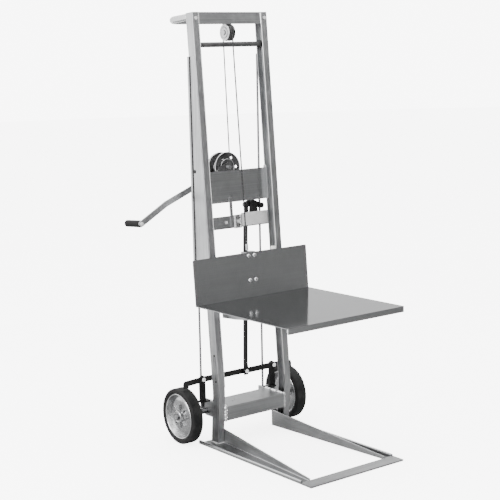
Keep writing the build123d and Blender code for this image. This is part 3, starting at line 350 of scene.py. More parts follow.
@dataclass(frozen=True)
class PowderCoat(Finish):
    """Powder coat with orange-peel relief and pale dust in its clouds."""

    name: str
    base: Colour = (0.004, 0.004, 0.0042)
    dust: Colour = (0.012, 0.012, 0.012)
    roughness: float = 0.36
    gloss: float = 0.22

    def build(self) -> bpy.types.Material:
        """Draw orange peel and dust on the coat.

        Returns:
            The finished material.
        """
        graph = Graph(self.name)
        peel = graph.noise(graph.place(), 900.0, 2.0)
        clouds = graph.ramp(graph.noise(graph.place(), 24.0, 5.0), (0.4, 0.0), (0.75, 1.0))
        return graph.surface(
            Base_Color=graph.tint(clouds, self.base, self.dust),
            Roughness=self.roughness + clouds * 0.15,
            Specular_IOR_Level=self.gloss,
            Normal=graph.bump(peel, 0.25, 0.0004),
        )


@dataclass(frozen=True)
class Rubber(Finish):
    """Solid rubber with mould grain and floor dust."""

    name: str
    base: Colour = (0.005, 0.005, 0.0052)
    dust: Colour = (0.016, 0.016, 0.0157)
    gloss: float = 0.14

    def build(self) -> bpy.types.Material:
        """Draw mould grain and floor dust on the rubber.

        Returns:
            The finished material.
        """
        graph = Graph(self.name)
        grain = graph.noise(graph.place(), 420.0, 3.0, 0.7)
        clouds = graph.ramp(graph.noise(graph.place(), 30.0, 6.0, 0.7), (0.45, 0.0), (0.8, 1.0))
        return graph.surface(
            Base_Color=graph.tint(clouds, self.base, self.dust),
            Roughness=0.62 + clouds * 0.2,
            Specular_IOR_Level=self.gloss,
            Normal=graph.bump(grain, 0.3, 0.0007),
        )


@dataclass(frozen=True)
class Moulding(Finish):
    """Moulded plastic with a fine spark texture."""

    name: str
    base: Colour
    shade: Colour
    roughness: float = 0.42
    gloss: float = 0.4

    def build(self) -> bpy.types.Material:
        """Draw the spark texture and faint clouds on the plastic.

        Returns:
            The finished material.
        """
        graph = Graph(self.name)
        spark = graph.noise(graph.place(), 1300.0, 2.0)
        clouds = graph.noise(graph.place(), 18.0, 5.0)
        return graph.surface(
            Base_Color=graph.tint(graph.ramp(clouds, (0.35, 0.0), (0.7, 1.0)), self.base, self.shade),
            Roughness=self.roughness + clouds * 0.12,
            Specular_IOR_Level=self.gloss,
            Normal=graph.bump(spark, 0.2, 0.0003),
        )


@dataclass(frozen=True)
class WireRope(Finish):
    """Stranded steel rope: slanting strand lines with dark gaps between the strands as painted shade."""

    name: str
    pitch: float = 0.006
    gap_shade: Colour = (0.03, 0.03, 0.03)
    strand: Colour = (0.055, 0.055, 0.057)

    def build(self) -> bpy.types.Material:
        """Draw slanting strands with dark gaps between them as painted shade.

        Returns:
            The finished material.
        """
        graph = Graph(self.name)
        wave = graph.node(
            "ShaderNodeTexWave",
            {"wave_type": "BANDS", "bands_direction": "DIAGONAL"},
            {"Vector": graph.place(), "Scale": 0.3 / self.pitch, "Distortion": 0.4, "Detail": 2.0},
            "Fac",
        )
        return graph.surface(
            # darker colour in the gaps between strands: painted shade
            Base_Color=graph.tint(wave, self.gap_shade, self.strand),
            Metallic=1.0,
            Roughness=0.5 - wave * 0.15,
            Normal=graph.bump(wave, 0.15, 0.0005),
        )


@dataclass(frozen=True)
class PaleFloor(Finish):
    """Seamless pale studio floor."""

    name: str = "studio_floor"
    base: Colour = (0.9, 0.9, 0.9)
    glow: float = 0.0

    def build(self) -> bpy.types.Material:
        """Make a plain surface, which may glow.

        Returns:
            The finished material.
        """
        graph = Graph(self.name)
        glow = {"Emission_Color": (1, 1, 1), "Emission_Strength": self.glow}
        return graph.surface(Base_Color=self.base, Roughness=0.75, **glow)


class Palette:
    """Every finish of the truck, made once and looked up by name.

    LEVEL is the least upward part of a level face's normal.
    """

    LEVEL = 0.95
    FINISHES: tuple[Finish, ...] = (
        RolledMetal("mast_aluminium", (0.23, 0.235, 0.24), (0.47, 0.475, 0.48), Grain.ALONG_Z, 0.34),
        RolledMetal("rail_aluminium", (0.34, 0.345, 0.35), (0.46, 0.465, 0.47), Grain.ALONG_Y, 0.34),
        RolledMetal("bar_aluminium", (0.265, 0.27, 0.275), (0.385, 0.39, 0.395), Grain.ALONG_X, 0.34),
        RolledMetal("deck_sheet", (0.315, 0.32, 0.325), (0.35, 0.355, 0.36), Grain.ALONG_X, 0.10,
                    line_depth=0.004, haze=0.015, spread=0.015, upright_haze=0.2),
        # bright tube metal for the handle and the rails' rolled lips, also on thin rods along the rails' wall
        # tops and creases as painted highlights
        RolledMetal("bright_tube_and_painted_highlight", (0.36, 0.365, 0.37), (0.50, 0.505, 0.51), Grain.ALONG_X, 0.15,
                    line_depth=0.05, haze=0.05, spread=0.06),
        RolledMetal("weld_metal", (0.40, 0.40, 0.40), (0.60, 0.60, 0.60), Grain.ALONG_Y, 0.36,
                    line_depth=0.3),
        # bright metal for weld beads, also on thin rods that are painted highlight lines on the mast
        RolledMetal("bright_weld_and_painted_highlight", (0.55, 0.55, 0.55), (0.75, 0.75, 0.75), Grain.ALONG_Y, 0.3,
                    line_depth=0.3),
        # darker metal for the rails' level floors: painted shade in the troughs
        RolledMetal("trough_painted_shade", (0.11, 0.112, 0.115), (0.17, 0.172, 0.175), Grain.ALONG_Y, 0.34),
        ZincPlate("hub_metal", (0.20, 0.203, 0.207), (0.46, 0.463, 0.467), roughness=0.24, dimple=0.8),
        ZincPlate("zinc_plate", (0.30, 0.305, 0.31), (0.52, 0.525, 0.53)),
        ZincPlate("pale_zinc", (0.34, 0.34, 0.34), (0.44, 0.44, 0.44), roughness=0.4, metallic=0.25),
        ZincPlate("clear_zinc", (0.62, 0.62, 0.62), (0.78, 0.78, 0.78), roughness=0.4, metallic=0.1),
        ZincPlate("rod_zinc", (0.13, 0.13, 0.132), (0.16, 0.16, 0.162), roughness=0.45, metallic=0.6,
                  dimple=0.02),
        ZincPlate("pale_gear", (0.16, 0.16, 0.163), (0.30, 0.30, 0.303), roughness=0.45, metallic=0.5),
        ZincPlate("gear_steel", (0.14, 0.14, 0.145), (0.30, 0.30, 0.305), roughness=0.2),
        ZincPlate("bright_zinc", (0.42, 0.42, 0.425), (0.66, 0.66, 0.665), roughness=0.14),
        TurnedSteel("turned_drum", tuple(on_mast(DRUM_X, 0, DRUM_HEIGHT)), tuple(MAST_BACK),
                    (0.07, 0.07, 0.072), (0.24, 0.24, 0.243)),
        TurnedSteel("turned_sheave", tuple(on_mast(0, PULLEY_DEPTH, PULLEY_HEIGHT)), tuple(ACROSS),
                    (0.36, 0.36, 0.365), (0.52, 0.52, 0.525), roughness=0.3, ring=0.006),
        PowderCoat("black_coat"),
        # dark coat for the spreader, also on the pulley as painted shade in its groove
        PowderCoat("worn_coat_and_painted_shade", (0.014, 0.014, 0.0145), (0.04, 0.04, 0.04), roughness=0.34, gloss=0.5),
        Rubber("tyre_rubber"),
        Moulding("nylon_moulding", (0.70, 0.70, 0.67), (0.80, 0.80, 0.78)),
        Moulding("grip_moulding", (0.003, 0.003, 0.003), (0.007, 0.007, 0.007), roughness=0.5, gloss=0.08),
        WireRope("wire_rope"),
        WireRope("wound_rope", gap_shade=(0.14, 0.14, 0.14), strand=(0.36, 0.36, 0.365)),
    )

    def __init__(self) -> None:
        """Make all materials."""
        self.made = {finish.name: finish.build() for finish in self.FINISHES}

    def dress(self, piece: bpy.types.Object, name: str) -> None:
        """Put one finish on a whole piece."""
        piece.data.materials.clear()
        piece.data.materials.append(self.made[name])

    def dress_level_faces(self, piece: bpy.types.Object, name: str) -> None:
        """Put a second finish on a piece's level upper faces.

        Args:
            piece: A piece that already has its first finish.
            name: The second finish's name.
        """
        piece.data.materials.append(self.made[name])
        for face in piece.data.polygons:
            if face.normal.z > self.LEVEL:
                face.material_index = 1


@dataclass(frozen=True)
class EdgeBreak:
    """Rounded edges that catch the light, added over the solid without moving it."""

    width: float = 0.0007
    steps: int = 2
    join_distance: float = 1e-5

    def apply(self, piece: bpy.types.Object) -> None:
        """Weld the solid's faces together and round its sharp edges.

        Args:
            piece: A CAD node's object.
        """
        mesh = piece.data
        if "custom_normal" in mesh.attributes:
            mesh.attributes.remove(mesh.attributes["custom_normal"])
        mesh.polygons.foreach_set("use_smooth", [True] * len(mesh.polygons))
        weld = piece.modifiers.new("join_faces", "WELD")
        weld.merge_threshold = self.join_distance
        if not self.width:
            return
        bevel = piece.modifiers.new("edge_break", "BEVEL")
        bevel.limit_method = "ANGLE"
        bevel.angle_limit = SHARP_ANGLE
        bevel.width = self.width
        bevel.segments = self.steps
        bevel.harden_normals = True


class Shaper:
    """Collects small forms of one finish on one body into one mesh.

    The shares below are parts of a form's own radius, and DOME_DEGREES is where a dome's top is cut flat.
    """

    WASHER_REACH = 1.35
    WASHER_THICK = 0.22
    HEX_THICK = 0.7
    CROWN_REACH = 0.84
    CROWN_THICK = 0.16
    RIVET_FOOT = 0.25
    RIVET_NECK = 0.9
    RIVET_CROWN = 0.2
    RIPPLE_GAP = 0.8
    DOME_DEGREES = 84

    def __init__(self, name: str) -> None:
        """Start an empty mesh."""
        self.name = name
        self.mesh = bmesh.new()

    @staticmethod
    def _turned(centre: Vector, axis: Vector) -> Matrix:
        """Matrix that lays a form's own Z along an axis at a place."""
        return Matrix.Translation(centre) @ axis.to_track_quat("Z", "Y").to_matrix().to_4x4()

    def drum(self, centre: Vector, axis: Vector, radius: float, length: float, sides: int,
             top: float = 1.0) -> None:
        """Add a round or many-sided form that stands on a face.

        Args:
            centre: Middle of the foot.
            axis: Direction that it stands in.
            radius: Foot radius, in metres.
            length: Height, in metres.
            sides: Number of sides.
            top: Top radius as a share of the foot's.
        """
        bmesh.ops.create_cone(
            self.mesh, cap_ends=True, segments=sides, radius1=radius, radius2=radius * top, depth=length,
            matrix=self._turned(centre + axis * (length / 2), axis),
        )

    def rod(self, start: Vector, end: Vector, radius: float, sides: int = 16) -> None:
        """Add a round bar along a line."""
        self.drum(start, (end - start).normalized(), radius, (end - start).length, sides)

    def nut(self, centre: Vector, axis: Vector, radius: float, thick: float) -> None:
        """Add a plain hexagon that stands on a face."""
        self.drum(centre, axis, radius, thick, 6)

    def bolt(self, centre: Vector, axis: Vector, head: float) -> None:
        """Add a washer, a hexagon head and its crown.

        Args:
            centre: Middle of the washer's foot.
            axis: Direction that it stands in.
            head: Radius over the hexagon's corners, in metres.
        """
        self.drum(centre, axis, head * self.WASHER_REACH, head * self.WASHER_THICK, 28)
        self.nut(centre + axis * head * self.WASHER_THICK, axis, head, head * self.HEX_THICK)
        crown = centre + axis * head * (self.WASHER_THICK + self.HEX_THICK)
        self.drum(crown, axis, head * self.CROWN_REACH, head * self.CROWN_THICK, 18, 0.7)

    def rivet(self, centre: Vector, axis: Vector, radius: float) -> None:
        """Add a low domed rivet head.

        Args:
            centre: Middle of the foot.
            axis: Direction that it stands in.
            radius: Foot radius, in metres.
        """
        self.drum(centre, axis, radius, radius * self.RIVET_FOOT, 18, self.RIVET_NECK)
        crown = centre + axis * radius * self.RIVET_FOOT
        self.drum(crown, axis, radius * self.RIVET_NECK, radius * self.RIVET_CROWN, 18, 0.5)

    def dome(self, centre: Vector, axis: Vector, radius: float, height: float, steps: int = 6) -> None:
        """Add a round domed head that stands on a face.

        Args:
            centre: Middle of the foot.
            axis: Direction that it stands in.
            radius: Foot radius, in metres.
            height: Height, in metres.
            steps: Number of rings.
        """
        turns = [math.radians(self.DOME_DEGREES * step / steps) for step in range(steps + 1)]
        for low, high in zip(turns, turns[1:]):
            foot = centre + axis * height * math.sin(low)
            rise = height * (math.sin(high) - math.sin(low))
            self.drum(foot, axis, radius * math.cos(low), rise, 28, math.cos(high) / math.cos(low))

    def ring(self, centre: Vector, axis: Vector, radius: float, thick: float, sides: int = 64,
             facets: int = 10) -> None:
        """Add a round ring about an axis.

        Args:
            centre: Its middle.
            axis: The axis that it goes round.
            radius: Distance from the axis to the ring's own middle line, in metres.
            thick: Radius of the ring's own section, in metres.
            sides: Steps round the axis.
            facets: Steps round the section.
        """
        turn = self._turned(centre, axis)
        angles = [math.tau * facet / facets for facet in range(facets)]
        section = [Vector((radius + thick * math.cos(a), 0, thick * math.sin(a))) for a in angles]
        loops = []
        for side in range(sides):
            spin = turn @ Matrix.Rotation(math.tau * side / sides, 4, "Z")
            loops.append([self.mesh.verts.new(spin @ spot) for spot in section])
        for near, far in zip(loops, loops[1:] + loops[:1]):
            for facet in range(facets):
                self.mesh.faces.new((near[facet], far[facet], far[facet - 1], near[facet - 1]))

    def strip(self, start: Vector, end: Vector, width: float, thick: float) -> None:
        """Add a thin flat strip along a line on a face that looks along X.

        Args:
            start: Middle of one end.
            end: Middle of the other end.
            width: Width on the face, in metres.
            thick: Thickness along X, in metres.
        """
        run = end - start
        along = run.normalized()
        turn = Matrix((ACROSS, ACROSS.cross(along), along)).transposed().to_4x4()
        size = Matrix.Diagonal((thick, width, run.length, 1))
        bmesh.ops.create_cube(self.mesh, size=1, matrix=Matrix.Translation((start + end) / 2) @ turn @ size)

    def bead(self, start: Vector, end: Vector, radius: float) -> None:
        """Add a weld bead of overlapping ripples along a line.

        Args:
            start: Middle of the first ripple.
            end: Middle of the last ripple.
            radius: Mean radius of a ripple, in metres.
        """
        run = end - start
        count = max(2, int(run.length / (radius * self.RIPPLE_GAP)))
        for step in range(count + 1):
            swell = 1 + 0.14 * math.sin(step * 2.3) + 0.08 * math.sin(step * 5.1)
            bmesh.ops.create_icosphere(
                self.mesh, subdivisions=2, radius=radius * swell,
                matrix=Matrix.Translation(start + run * (step / count)),
            )

    def make(self, palette: Palette, finish: str) -> bpy.types.Object:
        """Turn the mesh into a dressed object.

        Args:
            palette: All finishes.
            finish: The finish's name.

        Returns:
            The new object.
        """
        mesh = bpy.data.meshes.new(self.name)
        self.mesh.to_mesh(mesh)
        self.mesh.free()
        mesh.polygons.foreach_set("use_smooth", [True] * len(mesh.polygons))
        mesh.set_sharp_from_angle(angle=SHARP_ANGLE)
        made = bpy.data.objects.new(self.name, mesh)
        bpy.context.scene.collection.objects.link(made)
        palette.dress(made, finish)
        LOG.info("built %s", self.name)
        return made

    def finish(self, body: str, slot: str, palette: Palette, finish: str) -> bpy.types.Object:
        """Turn the mesh into an object that rides on a body.

        Args:
            body: The CAD body that carries it.
            slot: The record's material slot; not used.
            palette: All finishes.
            finish: The finish's name.

        Returns:
            The new object.
        """
        made = self.make(palette, finish)
        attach(made, body)
        return made


class SubAssembly(ABC):
    """A group of CAD nodes that share a builder and a set of finishes."""

    palette: Palette
    finishes: dict[str, str]
    edge_width: float = 0.0007

    def dress(self) -> None:
        """Put each node's finish and edge break on it, and leave ropes unbroken."""
        for node, finish in self.finishes.items():
            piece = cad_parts[node]
            self.palette.dress(piece, finish)
            EdgeBreak(width=0.0 if finish.endswith("rope") else self.edge_width).apply(piece)
            LOG.info("dressed %s with %s", node, finish)

    @abstractmethod
    def build(self) -> None:
        """Add the pieces that the solids leave to the scene."""


@dataclass
class Mast(SubAssembly):
    """Uprights, crossbars, handle, guard and brace rods."""

    palette: Palette
    edge_width: float = 0.0013
    edge_x: float = 0.1366
    edge_depth: float = 0.0012
    edge_radius: float = 0.0014
    edge_span: tuple[float, float] = (0.212, 1.497)
    bar_x: float = 0.1365
    bar_depth: float = 0.0025
    bar_radius: float = 0.0026
    bar_span: tuple[float, float] = (1.499, 1.538)
    foot_outer: float = 0.1625
    foot_inner: float = 0.1375
    foot_span: tuple[float, float] = (0.546, 0.584)
    foot_rise: float = 0.0045
    foot_weld: float = 0.0035
    hem_face: float = -0.1665
    hem_low: tuple[float, float] = (0.092, 0.600)
    hem_high: tuple[float, float] = (0.034, 1.390)
    hem_width: float = 0.0030
    hem_thick: float = 0.0006
    guard_hole: Spot = (-0.1640, 0.052, 0.988)
    guard_hole_radius: float = 0.0068
    web_depth: float = 0.0168
    web_holes: tuple[float, float] = (0.235, 0.330)
    web_hole_radius: float = 0.0042
    finishes: dict[str, str] = field(default_factory=lambda: {
        "left_upright": "mast_aluminium",
        "right_upright": "mast_aluminium",
        "top_crossbar": "bar_aluminium",
        "push_handle": "bright_tube_and_painted_highlight",
        "spreader_tube": "worn_coat_and_painted_shade",
        "spreader_collars": "worn_coat_and_painted_shade",
        "winch_plate": "bar_aluminium",
        "rear_crossbar": "bar_aluminium",
        "tie_strap": "zinc_plate",
        "guide_plate": "bright_zinc",
        "brake_plate": "pale_zinc",
        "crank_guard": "mast_aluminium",
        "left_brace_rod": "rod_zinc",
        "right_brace_rod": "rod_zinc",
        "frame_bolts": "pale_zinc",
    })

    def build(self) -> None:
        """Paint shadow along the guard's hem and shade in the holes, paint highlights along the channels'
        inner edges and weld the feet.
        """
        self._painted_shade_marks()
        self._painted_edge_highlights()
        self._foot_welds()

    def _painted_shade_marks(self) -> None:
        """Draw a thin black strip along the guard's hem as painted shadow between the hem and the upright's
        web, and black rivets in the guard's hole and the webs' holes as painted shade inside them.
        """
        painted_shade_marks = Shaper("mast_painted_shade_marks")
        low, high = on_mast(self.hem_face, *self.hem_low), on_mast(self.hem_face, *self.hem_high)
        # black strip: painted shadow between the guard's hem and the upright's web
        painted_shade_marks.strip(low, high, self.hem_width, self.hem_thick)
        # black rivets fill the holes: painted shade inside them
        painted_shade_marks.rivet(on_mast(*self.guard_hole), Vector((-1, 0, 0)), self.guard_hole_radius)
        for height in self.web_holes:
            for side in SIDES:
                spot = on_mast(side * self.foot_outer, self.web_depth, height)
                painted_shade_marks.rivet(spot, Vector((side, 0, 0)), self.web_hole_radius)
        painted_shade_marks.finish("mast", "black_steel", self.palette, "black_coat")

    def _painted_edge_highlights(self) -> None:
        """Lay bright rods along the channels' inner edges and the top bar's ends as painted highlight lines.
        """
        lines = Shaper("painted_edge_highlights")
        for side in SIDES:
            for x, depth, span, radius in (
                (self.edge_x, self.edge_depth, self.edge_span, self.edge_radius),
                (self.bar_x, self.bar_depth, self.bar_span, self.bar_radius),
            ):
                low, high = span
                lines.rod(on_mast(side * x, depth, low), on_mast(side * x, depth, high), radius)
        # the bright rods are painted highlights
        lines.finish("mast", "aluminium", self.palette, "bright_weld_and_painted_highlight")

    def _foot_welds(self) -> None:
        """Weld the outer and front edges of the uprights' feet."""
        beads = Shaper("foot_welds")
        front, rear = self.foot_span
        for side in SIDES:
            corner = Vector((side * self.foot_outer, front, self.foot_rise))
            beads.bead(corner, Vector((corner.x, rear, self.foot_rise)), self.foot_weld)
            beads.bead(corner, Vector((side * self.foot_inner, front, self.foot_rise)), self.foot_weld)
        beads.finish("mast", "aluminium", self.palette, "weld_metal")


@dataclass
class Winch(SubAssembly):
    """Winch frame, drum, gears, ratchet, crank and grip."""

    palette: Palette
    drum_shaft: Spot = (DRUM_X, 0.117, DRUM_HEIGHT)
    drum_nut: tuple[float, float] = (0.011, 0.006)
    crank_shaft: Spot = (-0.0678, 0.138, 0.9499)
    crank_nut: tuple[float, float] = (0.0115, 0.0075)
    crank_end: Spot = (-0.3538, 0.126, 0.8199)
    pin_head: float = 0.0075
    flange_faces: tuple[float, float] = (0.053, 0.0960)
    rim_rings: tuple[tuple[float, float], ...] = ((0.0538, 0.0014), (0.0295, 0.0012))
    finishes: dict[str, str] = field(default_factory=lambda: {
        "winch_frame": "gear_steel",
        "winch_drum": "turned_drum",
        "drum_gear": "pale_gear",
        "drum_shaft": "zinc_plate",
        "crank_shaft": "zinc_plate",
        "ratchet_wheel": "zinc_plate",
        "pawl": "zinc_plate",
        "crank_arm": "zinc_plate",
        "crank_grip": "grip_moulding",
    })

    def build(self) -> None:
        """Add the shaft nuts, the drum's bright rims and the riveted end of the grip's pin."""
        nut = Shaper("drum_shaft_nut")
        nut.nut(on_mast(*self.drum_shaft), MAST_BACK, *self.drum_nut)
        nut.finish("drum", "zinc_steel", self.palette, "zinc_plate")
        rims = Shaper("drum_rims")
        for face in self.flange_faces:
            for radius, thick in self.rim_rings:
                rims.ring(on_mast(DRUM_X, face, DRUM_HEIGHT), MAST_BACK, radius, thick)
        rims.finish("drum", "zinc_steel", self.palette, "bright_zinc")
        ends = Shaper("crank_ends")
        ends.nut(on_mast(*self.crank_shaft), MAST_BACK, *self.crank_nut)
        ends.rivet(on_mast(*self.crank_end), -MAST_BACK, self.pin_head)
        ends.finish("crank", "zinc_steel", self.palette, "pale_zinc")


@dataclass
class LiftingCable(SubAssembly):
    """Wire rope from the drum over the pulley to the carriage.

    A disc step is a share of the disc's radius, a rise, a number of sides and a taper. A groove has no taper.
    """

    palette: Palette
    radius: float = 0.0025
    sides: int = 14
    cheek_face: float = 0.0125
    disc_radius: float = 0.0295
    disc_steps: tuple[tuple[float, float, int, float], ...] = (
        (1.0, 0.0014, 48, 0.97), (0.62, 0.0030, 40, 0.96), (0.27, 0.0062, 32, 0.94),
    )
    groove_steps: tuple[tuple[float, float, int], ...] = ((0.70, 0.0018, 40), (0.36, 0.0034, 32))
    ferrule_rise: float = 0.004
    ferrule_length: float = 0.022
    finishes: dict[str, str] = field(default_factory=lambda: {
        "rear_cable": "wire_rope",
        "cable_wrap": "wire_rope",
        "wound_cable": "wound_rope",
        # the pulley's dark coat is painted shade in its groove
        "pulley": "worn_coat_and_painted_shade",
        "pulley_bracket": "zinc_plate",
        "pulley_pin": "zinc_plate",
    })

    def build(self) -> None:
        """Make the front run, the pulley's sides and the ferrule."""
        low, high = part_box("front_cable")
        x = (low.x + high.x) / 2
        foot = Vector((x, low.y + self.radius, low.z))
        head = Vector((x, high.y - self.radius, high.z))
        run = Shaper("front_run")
        run.rod(foot, head, self.radius, self.sides)
        piece = run.make(self.palette, "wire_rope")
        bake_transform(piece)
        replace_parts(piece, "front_cable")
        self._pulley_sides()
        ferrule = Shaper("cable_ferrule")
        ferrule.drum(foot + MAST_UP * self.ferrule_rise, MAST_UP, self.radius * 2, self.ferrule_length, 18)
        ferrule.finish("carriage", "zinc_steel", self.palette, "zinc_plate")

    def _pulley_sides(self) -> None:
        """Turn stepped discs on both sides of the pulley, with dark steel rings between the steps as painted
        shade in the grooves.
        """
        discs = Shaper("pulley_sides")
        grooves = Shaper("pulley_painted_groove_shade")
        for side in SIDES:
            face = on_mast(side * self.cheek_face, PULLEY_DEPTH, PULLEY_HEIGHT)
            out = Vector((side, 0, 0))
            for share, rise, sides, taper in self.disc_steps:
                discs.drum(face, out, self.disc_radius * share, rise, sides, taper)
            for share, rise, sides in self.groove_steps:
                grooves.drum(face, out, self.disc_radius * share, rise, sides)
        discs.finish("mast", "zinc_steel", self.palette, "turned_sheave")
        # dark rings in the grooves: painted shade
        grooves.finish("mast", "zinc_steel", self.palette, "gear_steel")


@dataclass
class Carriage(SubAssembly):
    """Slides, carriage plate, arms, platform and cable anchor."""

    palette: Palette
    lip_height: float = 0.020
    sheet: float = 0.003
    weld_starts: tuple[float, ...] = (0.02, 0.14, 0.26, 0.36)
    weld_run: float = 0.03
    weld_radius: float = 0.0022
    plate_face: float = -0.028
    bolt_x: float = 0.013
    bolt_rows: tuple[float, float] = (0.586, 0.674)
    head_radius: float = 0.0073
    head_rise: float = 0.0052
    finishes: dict[str, str] = field(default_factory=lambda: {
        "left_slide": "nylon_moulding",
        "right_slide": "nylon_moulding",
        "carriage_plate": "bar_aluminium",
        "platform": "deck_sheet",
        "left_arm": "rail_aluminium",
        "right_arm": "rail_aluminium",
        "cable_anchor": "deck_sheet",
    })

    def build(self) -> None:
        """Weld the arms under the deck and dome the platform's bolts."""
        beads = Shaper("arm_welds")
        deck_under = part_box("platform")[0].z + self.lip_height - self.sheet
        for node in ("left_arm", "right_arm"):
            low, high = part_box(node)
            for x in (low.x, high.x):
                for start in self.weld_starts:
                    foot = Vector((x, low.y + start, deck_under))
                    beads.bead(foot, Vector((x, foot.y + self.weld_run, deck_under)), self.weld_radius)
        beads.finish("carriage", "aluminium", self.palette, "weld_metal")
        heads = Shaper("platform_heads")
        for x in (-self.bolt_x, self.bolt_x):
            for height in self.bolt_rows:
                heads.dome(on_mast(x, self.plate_face, height), -MAST_BACK, self.head_radius, self.head_rise)
        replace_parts(heads.finish("carriage", "zinc_steel", self.palette, "bright_zinc"), "platform_bolts")


@dataclass
class WheelSet(SubAssembly):
    """Rear wheels, bearings, axle and its brackets and cover.

    A ring is its radius, its thickness and its distance out from the wheel's middle.
    """

    palette: Palette
    wheel_x: float = 0.239
    axle_y: float = 0.654
    axle_z: float = 0.1016
    hub_rings: tuple[RingSize, ...] = ((0.0803, 0.0022, 0.0178), (0.0192, 0.0018, 0.0216))
    tyre_rings: tuple[RingSize, ...] = ((0.0905, 0.0012, 0.0220),)
    weld_shares: tuple[float, ...] = (0.12, 0.45, 0.78)
    weld_run: float = 0.022
    weld_radius: float = 0.0052
    corner_out: float = 0.004
    corner_back: float = 0.0065
    corner_rise: float = 0.002
    corner_drop: float = 0.001
    corner_radius: float = 0.006
    finishes: dict[str, str] = field(default_factory=lambda: {
        "left_tyre": "tyre_rubber",
        "right_tyre": "tyre_rubber",
        "left_hub": "hub_metal",
        "right_hub": "hub_metal",
        "left_bearings": "zinc_plate",
        "right_bearings": "zinc_plate",
        "axle": "zinc_plate",
        "axle_collars": "gear_steel",
        "left_axle_bracket": "rail_aluminium",
        "right_axle_bracket": "rail_aluminium",
        "axle_cover": "bar_aluminium",
    })

    def build(self) -> None:
        """Put bright rings on the hubs and moulded ones on the tyres, and weld the cover."""
        for body, side in (("left_wheel", -1), ("right_wheel", 1)):
            x = side * self.wheel_x
            self._rings(f"{body}_rings", x, self.hub_rings).finish(body, "hub", self.palette, "bright_zinc")
            moulded = self._rings(f"{body}_tyre_rings", x, self.tyre_rings)
            moulded.finish(body, "tyre", self.palette, "tyre_rubber")
        self._cover_welds()

    def _rings(self, name: str, x: float, sizes: Sequence[RingSize]) -> Shaper:
        """Collect rings on both faces of one wheel.

        Args:
            name: The piece's name.
            x: The wheel's middle.
            sizes: The rings' sizes.

        Returns:
            The rings, not yet an object.
        """
        rings = Shaper(name)
        for radius, thick, out in sizes:
            for face in SIDES:
                rings.ring(Vector((x + face * out, self.axle_y, self.axle_z)), ACROSS, radius, thick)
        return rings

    def _cover_welds(self) -> None:
        """Weld the axle cover's ends and front corners to its brackets."""
        beads = Shaper("cover_welds")
        low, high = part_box("axle_cover")
        for x in (low.x, high.x):
            for share in self.weld_shares:
                y = low.y + (high.y - low.y) * share
                beads.bead(Vector((x, y, high.z)), Vector((x, y + self.weld_run, high.z)), self.weld_radius)
            corner_x = x + math.copysign(self.corner_out, x)
            foot = Vector((corner_x, low.y + self.corner_back, low.z + self.corner_rise))
            beads.bead(foot, Vector((foot.x, foot.y, high.z - self.corner_drop)), self.corner_radius)
        beads.finish("mast", "aluminium", self.palette, "bright_weld_and_painted_highlight")


@dataclass
class FloorFrame(SubAssembly):
    """Base rails and toe bar."""

    palette: Palette
    rail_outer: float = 0.205
    rail_span: tuple[float, float] = (0.0263, 0.606)
    wall_rear: tuple[float, float] = (0.1315, 0.060)
    wall_front: tuple[float, float] = (0.1665, 0.010)
    roll: float = 0.004
    roll_rise: float = 0.009
    edge: float = 0.0018
    crease_out: float = 0.0022
    crease_rise: float = 0.0036
    toe_weld_span: tuple[float, float] = (0.172, 0.2)
    toe_weld_drop: float = 0.003
    toe_weld_radius: float = 0.003
    finishes: dict[str, str] = field(default_factory=lambda: {
        "left_base_rail": "rail_aluminium",
        "right_base_rail": "rail_aluminium",
        "toe_bar": "bar_aluminium",
    })

    def build(self) -> None:
        """Roll the rails' edges, paint shade on their floors and weld them to the toe bar."""
        self._rail_edges()
        beads = Shaper("toe_welds")
        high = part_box("toe_bar")[1]
        inner, outer = self.toe_weld_span
        for side in SIDES:
            start = Vector((side * inner, high.y, high.z - self.toe_weld_drop))
            beads.bead(start, Vector((side * outer, start.y, start.z)), self.toe_weld_radius)
        beads.finish("mast", "aluminium", self.palette, "weld_metal")

    def _rail_edges(self) -> None:
        """Paint shade on the rails' level floors, lay bright rods on their rolled edges, and paint highlights
        along their wall tops and creases.
        """
        edges = Shaper("rail_lips_and_painted_highlights")
        front, rear = self.rail_span
        for side, node in ((-1, "left_base_rail"), (1, "right_base_rail")):
            # the rails' level upper faces get the darker finish: painted shade in the troughs
            self.palette.dress_level_faces(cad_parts[node], "trough_painted_shade")
            x = side * (self.rail_outer - self.roll)
            edges.rod(Vector((x, rear, self.roll_rise)), Vector((x, front, self.roll_rise)), self.roll)
            # bright rods along the wall top and the crease: painted highlights
            top = Vector((side * self.wall_rear[0], rear, self.wall_rear[1]))
            low = Vector((side * self.wall_front[0], front, self.wall_front[1]))
            edges.rod(top, low, self.edge)
            crease_out = side * self.crease_out
            edges.rod(
                Vector((top.x + crease_out, rear, self.crease_rise)),
                Vector((low.x + crease_out, front, self.crease_rise)),
                self.edge,
            )
        edges.finish("mast", "aluminium", self.palette, "bright_tube_and_painted_highlight")


